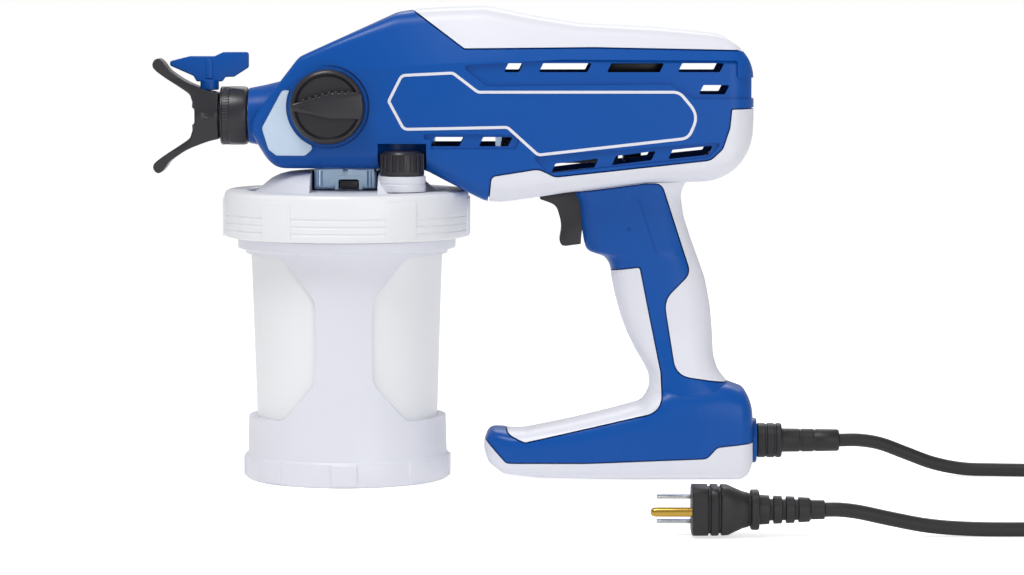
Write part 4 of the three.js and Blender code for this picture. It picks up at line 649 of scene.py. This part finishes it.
FOOT_TOP = eased([(16, 21.5), (17.5, 26.2), (21, 28.2), (27, 28), (31, 27.2), (39.3, 27.2), (66, 32.6), (90, 38.4),
                  (105.5, 42.8), (112, 49.5), (120, 54), (150, 55), (155, 54.2), (163.9, 51), (168, 45),
                  (170, 37)], 1.6)
FOOT_LOW = eased([(16, 18), (18.2, 9.7), (26.8, 3.4), (47.3, 1.2), (100, 0.4), (162, 0.4), (166.4, 3.2),
                  (170, 9.7)], 1.5)
FOOT_WIDTH = eased([(10, 14), (30, 22.5), (80, 26.6), (140, 27), (180, 24)], 5)


def foot_loft(wall=0.0):
    first, last = 16.1 + wall, 168.5 - wall

    def surface(u, v):
        x = lerp(first, last, lerp(u, 0.5 - 0.5 * math.cos(math.pi * u), 0.85))
        top = FOOT_TOP(x) - rounding(168.8 - x, 6) * 0.6 - rounding(x - 16, 5) * 0.4 - wall
        low = FOOT_LOW(x) + rounding(168.8 - x, 4) + wall
        half = FOOT_WIDTH(x) - rounding(168.6 - x, 8) - rounding(x - 16, 9) * 0.8 - wall
        a, b = ring_point(v, 3.8 if v < 0.5 else 9)  # the underside is flat out to its edge
        return Vector((x, a * half, (top + low) / 2 + b * (top - low) / 2))
    return loft(surface, 110, 72)


FRONT_GRIP = arc(grip_view([
    (52, 120), (88.4, 120, 1), (104.8, 122.4, 1.5), (109.6, 98, 40), (116.9, 62, 12), (117.8, 40.8, 13),
    (39.3, 22.6, 4), (30.4, 26.6, 8), (26, 34), (30, 60)]), 8)
REAR_GRIP = arc(grip_view([
    (61, 164.8), (108, 171, 1), (117.4, 171, 9), (134.4, 119, 8), (119.1, 103.8, 13), (125.8, 61.2, 11),
    (155, 56.4, 3), (175, 62), (175, 182), (61, 182)]), 8)
BASE = arc(grip_view([
    (0, 38), (16.5, 23.4), (28.6, 10.2, 5), (73, 10.6, 20), (143.5, 13.4, 6), (149.2, 19.8, 5), (185, 23.6),
    (185, -12), (0, -12)]), 8)


def make_handle():
    outer = join(handle_loft(), foot_loft())
    cut(outer, block(-20, 200, -80, 80, -20, 0.3))
    inner = join(handle_loft(2.6), foot_loft(2.6))
    walls = cut(outer, inner, block(50, 86.5, -9, 9, 128, 185), rod("x", 11.8, 140, 180, (0, CORD_Z)),
                rod("y", 2.2, -16.2, 16.2, PIVOT), body_loft(-0.5, 90),
                cut(rod("y", 1.2, -30, 30, (97.9, 142.7)), handle_loft(0.6)))
    # shallow line down the blue side, where the two halves of the mould meet
    crease = arc([(102.3, 160.6), (103.4, 160.9), (114.2, 128.6), (113.2, 128.2)])
    cut(walls, cut(side_plate(crease, -WIDE, WIDE), handle_loft(0.35)))
    deep = join(handle_loft(HANDLE_GROOVE), foot_loft(HANDLE_GROOVE))
    front, rear, base, blue = divided(walls, (FRONT_GRIP, REAR_GRIP, BASE), deep, size_mm("seam_width") * 0.9)
    flange = turned([(7.2, 166), (11.4, 166), (11.4, 168.9), (12.6, 168.9), (12.8, 169.2), (12.8, 170.7),
                     (12.3, 171.4), (7.4, 171.4), (7.2, 171.2)], "x", (0, 0, CORD_Z))
    add_piece("cord_flange", flange, "blue_plastic", "housing")
    add_shells("handle", blue)
    add_piece("grip_front", front, "white_plastic", "housing", ["front_grip"])
    add_piece("grip_rear", rear, "white_plastic", "housing", ["rear_grip"])
    add_piece("foot_base", base, "white_plastic", "housing", ["foot_base"])


# ------------------------------------------------------------------ nozzle end
def make_nut():
    """Guard nut: a stepped ring with fine ribs round its skirt."""
    profile = [(8.9, -117.6), (15.2, -117.6), (16.2, -118.4), (16.6, -120), (16.6, -127.6), (16.3, -128),
               (16.3, -131.6), (16.6, -132), (16.5, -132.6), (15.8, -133.2), (8.9, -133.2)]
    nut = turned(profile, "x", (0, 0, NOZZLE_Z), 120)
    join(nut, around(lambda: block(-131.7, -127.9, -0.4, 0.4, NOZZLE_Z + 15, NOZZLE_Z + 16.45, 0.2), 60,
                     centre=(0, 0, NOZZLE_Z), axis="X"))
    add_piece("nut", nut, "black_plastic", "nut", ["guard_nut"])


def vane(sign):
    """One prong of the tip guard: a slim, flaring U seen from the side."""
    line = spline([(-134, 12.9), (-140, 14.4), (-149, 17.8), (-154, 20.3), (-158, 22.9), (-162, 26), (-164.6, 29.6),
                   (-166.8, 31.9), (-168.8, 32.3), (-170.5, 31), (-171.1, 28.6), (-169.6, 26), (-164, 21.8),
                   (-156, 16.6), (-150.4, 12.6), (-149, 9.4), (-147.6, 5), (-146.8, 0.5)], 5)
    plate = side_plate([(x, NOZZLE_Z + sign * z) for x, z in line + [(-134.2, 0.5)]], -13.2, 13.2)
    round_edges(plate, 1.2, 60, 4)
    # rounded in the view along the nozzle
    shape = arc([(-6, -40, 4), (6, -40, 4), (13.2, -20, 10), (13.2, 20, 10), (6, 40, 4), (-6, 40, 4), (-13.2, 20, 10),
                 (-13.2, -20, 10)])
    front = raised(sheet(shape, lambda y, z: Vector((-180, y, NOZZLE_Z + z))), Vector((50, 0, 0)))
    common(plate, front)
    # hollow between the side walls of the prong
    channel = [(-172, 33), (-172, 20), (-166, 20.6), (-158, 15), (-152, 10), (-152, 15.4), (-158, 20.4), (-164, 25),
               (-167, 29)]
    cut(plate, side_plate([(x, NOZZLE_Z + sign * z) for x, z in channel], -8.2, 8.2))
    return plate


def make_guard():
    """Tip guard: a hub with a prong above and one below the jet."""
    hub = turned([(5, -148.9), (11.4, -148.9), (12.9, -147.8), (13.4, -146), (13.4, -142), (12.9, -141.4),
                  (12.9, -139.8), (13.4, -139.2), (13.4, -134.6), (12.9, -133.8), (9.4, -133.8), (9.4, -138),
                  (5, -140)],
                 "x", (0, 0, NOZZLE_Z), 96)
    body = join(hub, vane(1), vane(-1))
    cut(body, rod("z", 5.4, NOZZLE_Z - 30, NOZZLE_Z + 30, (TIP_X, 0)),
        turned([(0, -152), (10, -152), (6.5, -147), (5.2, -141), (0, -141)], "x", (0, 0, NOZZLE_Z)),
        block(-153, -147.4, -20, 20, NOZZLE_Z - 5, NOZZLE_Z + 5, 2))
    add_piece("guard", body, "black_plastic", "guard", ["tip_guard"], 40)


def make_tip():
    """Turning tip: a flag to turn it by, on a steel barrel with the jet's bore."""
    flag = [(-22.3, 14), (-9, 8.2), (-7.3, 5), (7.3, 5), (9, 7.5), (14, 7.7), (22.3, 13), (22.3, 21.7), (8, 21.7),
            (3, 19.4), (-11, 19.4), (-22.3, 16.6)]
    outline = [(x + TIP_X, z + 220.3) for x, z in arc([(x, z, 1.6) for x, z in flag], 5)]
    plate = round_edges(side_plate(outline, -2.5, 2.5), 0.7, 50)
    join(plate, rod("z", 5.3, 220.6, 226.5, (TIP_X, 0), 48, 0.5), rod("z", 3.3, 226, 238.6, (TIP_X, 0), 32, 1.2))
    add_piece("flag", plate, "blue_plastic", "tip", ["tip_flag"])
    barrel = cut(rod("z", 4.9, 193.6, 219.9, (TIP_X, 0), 48, 0.4), rod("x", 1.1, -150, -130, (0, NOZZLE_Z), 24))
    add_piece("barrel", barrel, "steel", "tip", ["tip_barrel"])


# ------------------------------------------------------------------ selector knob
def make_knob():
    x, z = KNOB
    disc = turned([(0, 0), (20.6, 0), (21, 0.6), (21, 5), (20.4, 6.2), (19.6, 6.9), (18.6, 7.2), (17.8, 6.6), (17, 6),
                   (0, 6)], "y", (x, KNOB_Y, z), 120)
    # a row of fine teeth round the rim
    join(disc, around(lambda: block(x + 20.2, x + 21.0, KNOB_Y - 4.6, KNOB_Y - 0.6, z - 0.6, z + 0.6, 0.25), 40,
                      centre=(x, 0, z), axis="Y"))
    # the wedge that the fingers turn, narrow at the left
    wedge = side_plate(arc([(x - 19.8, z - 1.6, 1.4), (x - 19.8, z + 1.8, 1.4), (x + 3, z + 8.2, 4),
                            (x + 19.4, z + 8.6, 3), (x + 20.4, z, 8), (x + 19.4, z - 6.6, 3), (x + 2, z - 6.4, 4)]),
                       KNOB_Y - 13.9, KNOB_Y - 5)
    round_edges(wedge, 1.4, 40)
    bumps = [(x - 13 + 3.6 * i, z + min(7.9, 3.6 + 1.02 * i)) for i in range(8)]
    join(disc, wedge, *(rod("y", 1.35, KNOB_Y - 14, KNOB_Y - 6, bump, 24, 0.8) for bump in bumps))
    # the arrow sunk in its narrow end
    arrow = side_plate(arc([(x - 16.5, z + 0.1, 0.3), (x - 9, z + 2.2, 0.6), (x - 9, z - 2, 0.6)]), KNOB_Y - 20,
                       KNOB_Y - 13.3)
    cut(disc, arrow)
    add_piece("knob", disc, "black_plastic", "selector", ["selector_knob"])


# ------------------------------------------------------------------ trigger
def make_trigger():
    x, z = PIVOT
    front = spline([(-30, 0.8), (-22, -2.5), (-19.3, -8), (-18.1, -15), (-19, -22.5), (-17.6, -25.4)], 8)
    rear = spline([(-7, -24.6), (-6, -16), (-2, -8.5), (5.2, -3)], 8)
    top = [(5.4, 4), (0, 4.9), (-29, 4), (-30.4, 2.4)]
    outline = [(x + a, z + b) for a, b in front + [(-15.5, -25.7)] + rear + top]
    body = round_edges(side_plate(outline, -8.4, 8.4), 1.6, 45, 4)
    cut(body, rod("y", 2.1, -20, 20, PIVOT, 32))
    add_piece("trigger_lever", body, "black_plastic", "trigger", ["trigger"], 35)


# ------------------------------------------------------------------ cup, its holder and its cover
def make_support():
    """Cup holder: a turned shell with a tall window at the front and one at the rear."""
    profile = [(0, 1.6), (49, 1.6), (51, 0), (56.4, 0), (57.6, 0.6), (58, 1.8), (58, 13), (57.6, 13.8), (56.9, 14.3),
               (56.7, 15), (56.2, 34), (56.2, 122), (57.5, 130), (61.6, 131.4), (61.9, 132), (61.9, 137),
               (61.2, 137.4), (61.2, 138.6), (61.9, 139), (61.9, 154.6), (61.5, 155), (56.6, 155), (56.4, 154.6),
               (54.8, 120), (51.2, 36), (50.8, 9), (48, 5.2), (0, 5.2)]
    body = turned(profile, "z", (0, 0, 0), 160)

    def window(side):
        wide, narrow, low, high = 35, 15.8, 35.4, 128.4
        shape = arc([(95, high), (wide, high, 9), (narrow, high - 24, 13), (narrow, low + 23, 13), (wide, low, 9),
                     (95, low)], 8)
        return side_plate([(side * x, z) for x, z in shape], -WIDE, WIDE)
    cut(body, window(1), window(-1))
    join(body, around(lambda: round_edges(block(54, 58.8, -7.3, 7.3, 1.2, 13), 0.8), 8))
    # the whole holder is turned by 0.4 degrees about its own axis
    bmesh.ops.rotate(body, cent=(0, 0, 0), matrix=Matrix.Rotation(math.radians(0.4), 3, "Z"), verts=body.verts)
    moved(body, (CUP_X, 0, 0))
    add_piece("holder", body, "white_plastic", "cup_holder", ["cup_support"], 32)


def make_liner():
    """The thin cup inside the holder."""
    profile = [(0, 5.6), (46.5, 5.6), (49, 6.6), (50.2, 8.6), (50.6, 11), (54, 120), (56, 155.3), (61.8, 155.3),
               (61.8, 156.8), (54.8, 156.8), (53, 120), (49.4, 12), (48.6, 9), (46, 7.1), (0, 7.1)]
    add_piece("liner", turned(profile, "z", (CUP_X, 0, 0), 128), "clear_liner", "cup_holder", ["cup"])


def make_ring():
    """Clamp ring: three grooves round it, and six smooth pads to grip it by."""
    profile = [(62.7, 137.7), (68.2, 137.7), (69.2, 138.4), (69.5, 139.6), (69.5, 141.6), (69.1, 142), (69.1, 142.8),
               (69.5, 143.2), (69.5, 145.6), (69.1, 146), (69.1, 146.8), (69.5, 147.2), (69.5, 149.6), (69.1, 150),
               (69.1, 150.8), (69.5, 151.2), (69.5, 160.6), (69.2, 162.2), (68.3, 163.5), (66.8, 164.2),
               (63.6, 164.35), (57.4, 164.3), (56.4, 163.6), (56.4, 160.8), (62.7, 160.8)]
    ring = turned(profile, "z", (0, 0, 0), 180)
    pads = around(lambda: round_edges(block(62.8, 69.9, -9.5, 9.5, 138.2, 160), 0.5), 6, math.radians(-62))
    join(ring, pads)
    moved(ring, (CUP_X, 0, 0))
    add_piece("ring", ring, "milky_plastic", "cup_holder", ["clamp_ring"])


def make_cover():
    """Cover of the cup: a low dome with a pocket for the mount and the collar of the purge cap."""
    profile = [(0, 157.4), (61.7, 157.4), (61.7, 160.2), (55.6, 160.2), (54.9, 160.9), (54.4, 162), (51.8, 163.4),
               (48.6, 165.6), (45.4, 168.4), (42.4, 170.8), (38, 172.9), (33, 174.2), (27, 174.8), (20, 175), (0, 175)]
    hollow = [(0, 150), (49, 150), (48, 160), (42, 166), (36, 169.6), (28, 171.4), (0, 172)]
    dome = turned(profile, "z", (0, 0, 0), 160)

    def notch(radius, low):
        return join(block(-radius, radius, -WIDE, 0, low, 190), rod("z", radius, low, 190, (0, 0)))
    cut(dome, cut(turned(hollow, "z", (0, 0, 0), 96), notch(22, 161)), notch(19, 164.3))
    purge = (PURGE[0] - CUP_X, PURGE[1])
    collar = turned([(0, 164.8), (13.1, 164.8), (13.2, 165.2), (13.2, 168.6), (12.9, 168.9), (12.9, 169.5),
                     (13.2, 169.8), (13.2, 173), (12.8, 173.4), (8.5, 173.4), (8.5, 180.6),
                     (0, 180.6)], "z", (*purge, 0), 72)
    join(dome, collar)
    cut(dome, rod("z", 5.4, 150, 190, (0, 0)), rod("z", 2, 150, 190, purge))
    moved(dome, (CUP_X, 0, 0))
    add_piece("cover", dome, "white_plastic", "housing", ["cup_cover"], 32)


def make_mount():
    """Cast foot of the pump over the cup's cover, with its dark window in a raised frame."""
    body = turned([(5.6, 164.8), (16.6, 164.8), (17.6, 165.4), (17.9, 166.6), (17.9, 176.4), (17.4, 177.4),
                   (16.4, 178), (13, 178), (13, 186.6), (5.6, 186.6)], "z", (0, 0, 0), 96)
    front = round_edges(block(-17.6, 17.6, -17.8, -9, 164.9, 177.6), 1.2)
    join(body, front)
    # a raised frame round an open window, with a dark gasket behind
    def window(grow):
        return round_edges(block(-3.9 - grow, 7.7 + grow, -24, -15.4, 160, 170.7 + grow), 1.2)
    join(body, common(window(1.9), block(-20, 20, -18.7, -15, 164.9, 180)))
    cut(body, rod("z", 5.6, 160, 190, (0, 0)), window(0), rod("z", 1.4, 166.8, 175.6, (-14.2, -18)),
        rod("z", 1.4, 166.8, 175.6, (13.6, -18)))
    moved(body, (CUP_X, 0, 0))
    # the mount's pale blue colour is a painted reflection, not the grey metal's own colour
    add_piece("mount", body, "cast_metal", "housing", ["cup_mount"])
    gasket = round_edges(block(-3.6, 7.4, -17.6, -15.6, 165, 170.2), 0.8)
    add_piece("gasket", moved(gasket, (CUP_X, 0, 0)), "black_plastic", "housing")


def make_cap():
    """Purge cap: a ribbed button on a flat skirt."""
    cap = turned([(8.8, 173.8), (12.2, 173.8), (12.4, 174.2), (12.4, 175.8), (11.7, 176.4), (11.6, 185.2), (11, 186.4),
                  (9.8, 187.2), (8, 187.5), (0, 187.5), (0, 181), (8.8, 181)], "z", (0, 0, 0), 96)
    join(cap, around(lambda: round_edges(block(10.6, 12.35, -0.95, 0.95, 175.6, 185.8), 0.35), 18))
    moved(cap, (*PURGE, 0))
    add_piece("cap", cap, "black_plastic", "purge", ["purge_cap"])


# ------------------------------------------------------------------ plug and relief
PLUG = Vector((123.4, -240, 13.6))
PLUG_FORM = [  # distance from the face, half width, squareness
    (0, 11.8, 4.2), (0.25, 12.5, 4.2), (0.9, 12.95, 4.2), (7.6, 13, 4), (8.2, 12.6, 4), (8.6, 11.6, 4), (9.4, 11.6, 4),
    (9.8, 12.6, 4), (10.4, 12.9, 4), (12.8, 12.9, 4), (13.4, 12.5, 4), (13.8, 11.5, 4), (14.6, 11.5, 3.8),
    (15, 12.4, 3.8), (15.6, 12.7, 3.8), (18.5, 12.5, 3.6), (22, 11, 3), (26, 9.4, 2.6), (28.6, 8.8, 2.4),
    (29.2, 8.4, 2.4), (29.8, 8.4, 2.4), (30.2, 9.6, 2.6), (30.8, 10.2, 2.6), (33.8, 10.2, 2.6), (34.4, 9.6, 2.6),
    (34.7, 7.6, 2.3), (37, 7.5, 2.2), (39.6, 7.3, 2.2), (40, 5.6, 2), (41.6, 5.6, 2), (42, 7.2, 2.2), (46, 7, 2.2),
    (46.4, 5.4, 2), (48, 5.4, 2), (48.4, 6.9, 2.2), (52.4, 6.7, 2.2), (52.8, 5.3, 2), (54.4, 5.3, 2), (54.8, 6.5, 2.1),
    (60, 6.2, 2), (60.6, 5.6, 2), (61, 5, 2), (67.6, 4.9, 2), (68, 4.5, 2)]


def prong_bed(z):
    """The hole in the plug's face that a blade stands in."""
    return block(PLUG.x - 1, PLUG.x + 5.3, PLUG.y - 0.5, PLUG.y + 6.5, z - 1.05, z + 1.05)


def make_plug():
    """Moulded plug with two flat blades and a round earth pin."""
    rows = len(PLUG_FORM) - 1

    def surface(u, v):
        x, half, power = PLUG_FORM[round(u * rows)]
        a, b = ring_point(v, power)
        return PLUG + Vector((x, a * half, b * min(half, 12.7)))
    body = loft(surface, rows, 64)
    upper, lower = PLUG.z + 6.35, PLUG.z - 6.35
    cut(body, prong_bed(upper), prong_bed(lower), rod("x", 2.7, PLUG.x - 1, PLUG.x + 5.3, (PLUG.y - 8.9, PLUG.z)))
    pieces = [add_piece("plug", body, "black_rubber", "housing", ["plug_body"])]
    for name, z in (("upper", upper), ("lower", lower)):
        blade = block(PLUG.x - 17.5, PLUG.x + 5, PLUG.y - 0.18, PLUG.y + 6.18, z - 0.75, z + 0.75, 0.35)
        cut(blade, rod("z", 1.6, z - 2, z + 2, (PLUG.x - 13.4, PLUG.y + 3)))
        pieces.append(add_piece("blade_" + name, blade, "steel", "housing", ["plug_blade_" + name]))
    pin = turned([(0, 5), (2.4, 5), (2.4, -18.2), (2.2, -19.6), (1.6, -20.6), (0.8, -21), (0, -21)], "x",
                 (PLUG.x, PLUG.y - 8.9, PLUG.z))
    pieces.append(add_piece("earth_pin", pin, "brass", "housing", ["plug_earth_pin"]))
    return pieces


def make_relief():
    """Strain relief: a ribbed collar and a sleeve that narrows to the cord."""
    profile = [(4.1, -8), (6.5, -8), (6.5, 0), (9.2, 0), (9.8, 0.6), (9.8, 4.4), (9.3, 4.8), (9.3, 5.6), (9.8, 6),
               (9.8, 9.6), (9.3, 10), (9.3, 10.8), (9.8, 11.2), (9.8, 13.2), (9.2, 14), (6.9, 14.4), (6.7, 15),
               (6.6, 24), (6.2, 24.6), (6.2, 25.4), (6.55, 26), (6.5, 32), (6.1, 32.6), (6.1, 33.4), (6.4, 34),
               (6.2, 46), (5.7, 46.9), (4.1, 46.9)]
    relief = turned(profile, "x", (171.8, 0, CORD_Z))
    add_piece("cord_relief", relief, "black_rubber", "housing", ["strain_relief"])


# ------------------------------------------------------------------ cord
CORD_ROUTE = [
    (219.1, 0, 20.5), (231, 0, 20.5), (243, 0, 18.4), (257, -0.3, 13.2), (273, -1, 7.4), (290, -2, 4.3),
    (308, -3.5, 3.9), (330, -6, 3.85), (370.4, -13.1, 3.85), (405.8, -33.6, 3.85), (432.2, -65, 3.85),
    (445.7, -103.5, 3.85), (445.7, -144.5, 3.85), (432.2, -183, 3.85), (405.8, -214.4, 3.85), (370.4, -234.9, 3.85),
    (330, -242, 3.85), (298, -242.6, 3.85), (268, -242, 3.95), (245, -241, 5.4), (225, -240.3, 9), (209, -240, 12.4),
    (199, -240, 13.6), (191.7, -240, 13.6)]


def make_cord():
    """The cord on its route along the floor, and its length in metres."""
    points = spline(CORD_ROUTE, 5)
    line = bpy.data.curves.new("power_cord", "CURVE")
    line.dimensions = "3D"
    line.bevel_depth = bpy.context.scene.sprayer_sizes.cord_thickness / 2
    line.bevel_resolution = 6
    line.use_fill_caps = True
    run = line.splines.new("POLY")
    run.points.add(len(points) - 1)
    for point, place in zip(run.points, points):
        point.co = (*(Vector(place) * MM), 1)
    run.use_smooth = True
    line.materials.append(finish("black_rubber"))
    cord = placed("mains_cord", line)
    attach(cord, "housing")
    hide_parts("power_cord")
    return cord, sum((Vector(b) - Vector(a)).length for a, b in zip(points, points[1:])) * MM


# ------------------------------------------------------------------ stage
WHITE = (1, 1, 1, 1)
FLOOR_GREY = (0.8, 0.8, 0.8, 1)
FLOOR_GLOW, FLOOR_GLOW_SEEN = 0.26, 0.68  # as the pieces get it, and as the camera sees it
SURROUND, SURROUND_SEEN = 0.42, 1.0
LENS, SENSOR = 135.7, 36
CAMERA_PLACE, CAMERA_AIM = (0.032, -2.193, 0.284), (0.032, 0, 0.108)


def aimed(thing, place, aim):
    """Puts a lamp or a camera at a place and turns it to look at another."""
    thing.location = place
    thing.rotation_euler = (Vector(aim) - Vector(place)).to_track_quat("-Z", "Y").to_euler()
    return thing


def make_floor():
    """The pale floor, which the camera sees as white apart from the sprayer's shadow."""
    mesh = bpy.data.meshes.new("floor")
    bm = bmesh.new()
    bmesh.ops.create_grid(bm, x_segments=1, y_segments=1, size=6)
    bm.to_mesh(mesh)
    bm.free()
    ground = bpy.data.materials.new("floor")
    tree = empty_tree(ground)
    paint = add_node(tree, "ShaderNodeBsdfDiffuse", Color=FLOOR_GREY)
    path = add_node(tree, "ShaderNodeLightPath")
    level = add_node(tree, "ShaderNodeMapRange", None, {"Value": path.outputs["Is Camera Ray"]}, To_Min=FLOOR_GLOW,
                     To_Max=FLOOR_GLOW_SEEN)
    glow = add_node(tree, "ShaderNodeEmission", None, {"Strength": level.outputs["Result"]}, Color=WHITE)
    both = add_node(tree, "ShaderNodeAddShader", None, {0: paint.outputs[0], 1: glow.outputs[0]})
    add_node(tree, "ShaderNodeOutputMaterial", None, {"Surface": both.outputs[0]})
    mesh.materials.append(ground)
    return placed("floor", mesh)


def make_world():
    """Even studio light from all round, white where the camera looks past the floor."""
    world = bpy.data.worlds.new("studio")
    bpy.context.scene.world = world
    tree = empty_tree(world)
    path = add_node(tree, "ShaderNodeLightPath").outputs
    seen = add_node(tree, "ShaderNodeMath", {"operation": "MAXIMUM"},
                    {0: path["Is Camera Ray"], 1: path["Is Transmission Ray"]})
    soft = add_node(tree, "ShaderNodeBackground", Color=WHITE, Strength=SURROUND)
    white = add_node(tree, "ShaderNodeBackground", Color=WHITE, Strength=SURROUND_SEEN)
    choice = add_node(tree, "ShaderNodeMixShader", None,
                      {0: seen.outputs[0], 1: soft.outputs[0], 2: white.outputs[0]})
    add_node(tree, "ShaderNodeOutputWorld", None, {"Surface": choice.outputs[0]})


def make_stage():
    scene = bpy.context.scene
    scene.view_settings.view_transform = "Standard"
    staged = [make_floor()]
    make_world()
    for name, place, aim, size, power in (
            ("key", (-0.45, -0.75, 1.9), (0.03, 0, 0.13), 0.9, scene.sprayer_sizes.key_power),
            ("fill", (0.9, -1.9, 0.5), (0.05, 0, 0.12), 1.2, 6.5),
            ("back", (0.2, 1.2, 1.1), (0.03, 0, 0.15), 1.0, 5)):
        light = bpy.data.lights.new(name, "AREA")
        light.shape, light.size, light.energy = "DISK", size, power
        staged.append(aimed(placed(name, light), place, aim))
    view = bpy.data.cameras.new("camera")
    view.lens, view.sensor_width = LENS, SENSOR
    scene.camera = aimed(placed("camera", view), CAMERA_PLACE, CAMERA_AIM)


# ------------------------------------------------------------------ pieces kept as the frame has them
INSIDE = {
    "steel": ["trigger_pin", "outlet_fitting", "inlet_valve_seat", "motor_can", "motor_shaft", "armature", "pinion",
              "crankshaft", "piston_yoke", "piston_rod", "prime_valve_stem"],
    "cast_metal": ["pump_block", "motor_plate", "bearing_plate"],
    "black_plastic": ["motor_end_cap", "trigger_switch", "cooling_fan"],
    "white_plastic": ["strainer", "switch_plunger"],
    "nylon": ["drive_gear", "suction_tube"],
    "circuit_board": ["speed_control_board"],
}


def dress_nodes():
    for look, names in INSIDE.items():
        for name in names:
            materials = NODES[name].data.materials
            materials.clear()
            materials.append(finish(look))


# ------------------------------------------------------------------ the add-on's operators and panel
class AddStage(bpy.types.Operator):
    """Add the floor, the soft lights and the camera"""
    bl_idname = "sprayer.stage"
    bl_label = "Stage"

    def execute(self, context):
        make_stage()
        return {"FINISHED"}


class AddCord(bpy.types.Operator):
    """Add the power cord with its plug and its strain relief"""
    bl_idname = "sprayer.cord"
    bl_label = "Cord and plug"

    def execute(self, context):
        cord, length = make_cord()
        plugs = make_plug()
        make_relief()
        return {"FINISHED"}


class AddBody(bpy.types.Operator):
    """Add the housing: two blue shells, the crown, the belly and the dial plate"""
    bl_idname = "sprayer.body"
    bl_label = "Housing"

    def execute(self, context):
        make_body()
        return {"FINISHED"}


class AddHandle(bpy.types.Operator):
    """Add the handle and the foot with their grips"""
    bl_idname = "sprayer.handle"
    bl_label = "Handle and foot"

    def execute(self, context):
        make_handle()
        return {"FINISHED"}


class AddNozzle(bpy.types.Operator):
    """Add the nut, the tip guard and the turning tip with its flag"""
    bl_idname = "sprayer.nozzle"
    bl_label = "Nozzle end"

    def execute(self, context):
        make_nut()
        make_guard()
        make_tip()
        return {"FINISHED"}


class AddControls(bpy.types.Operator):
    """Add the selector knob and the trigger"""
    bl_idname = "sprayer.controls"
    bl_label = "Knob and trigger"

    def execute(self, context):
        make_knob()
        make_trigger()
        return {"FINISHED"}


class AddCup(bpy.types.Operator):
    """Add the cup: its holder, its liner and the clamp ring"""
    bl_idname = "sprayer.cup"
    bl_label = "Cup"

    def execute(self, context):
        make_support()
        make_liner()
        make_ring()
        return {"FINISHED"}


class AddCover(bpy.types.Operator):
    """Add the cup cover with its metal mount and the purge cap"""
    bl_idname = "sprayer.cover"
    bl_label = "Cup cover"

    def execute(self, context):
        make_cover()
        make_mount()
        make_cap()
        return {"FINISHED"}


class AddInside(bpy.types.Operator):
    """Give the drive, the pump and the wiring inside the housing their finishes"""
    bl_idname = "sprayer.inside"
    bl_label = "Inside"

    def execute(self, context):
        dress_nodes()
        return {"FINISHED"}


OPERATORS = (AddStage, AddCord, AddBody, AddHandle, AddNozzle, AddControls, AddCup, AddCover, AddInside)


class SprayerPanel(bpy.types.Panel):
    """The sprayer's settings and pieces"""
    bl_idname = "VIEW3D_PT_sprayer"
    bl_label = "Paint sprayer"
    bl_space_type = "VIEW_3D"
    bl_region_type = "UI"
    bl_category = "Sprayer"

    def draw(self, context):
        for title, settings in (("Sizes", context.scene.sprayer_sizes), ("Colours", context.scene.sprayer_colours)):
            box = self.layout.box()
            box.label(text=title)
            for name in settings.__annotations__:
                box.prop(settings, name)
        column = self.layout.column(align=True)
        for operator in OPERATORS:
            column.operator(operator.bl_idname)


CLASSES = (SprayerSizes, SprayerColours, *OPERATORS, SprayerPanel)


def register():
    for made in CLASSES:
        bpy.utils.register_class(made)
    bpy.types.Scene.sprayer_sizes = bpy.props.PointerProperty(type=SprayerSizes)
    bpy.types.Scene.sprayer_colours = bpy.props.PointerProperty(type=SprayerColours)


def unregister():
    del bpy.types.Scene.sprayer_sizes
    del bpy.types.Scene.sprayer_colours
    for made in reversed(CLASSES):
        bpy.utils.unregister_class(made)


def main():
    register()
    bpy.ops.sprayer.stage()
    bpy.ops.sprayer.cord()
    bpy.ops.sprayer.body()
    bpy.ops.sprayer.handle()
    bpy.ops.sprayer.nozzle()
    bpy.ops.sprayer.controls()
    bpy.ops.sprayer.cup()
    bpy.ops.sprayer.cover()
    bpy.ops.sprayer.inside()


if __name__ == "__main__":
    main()
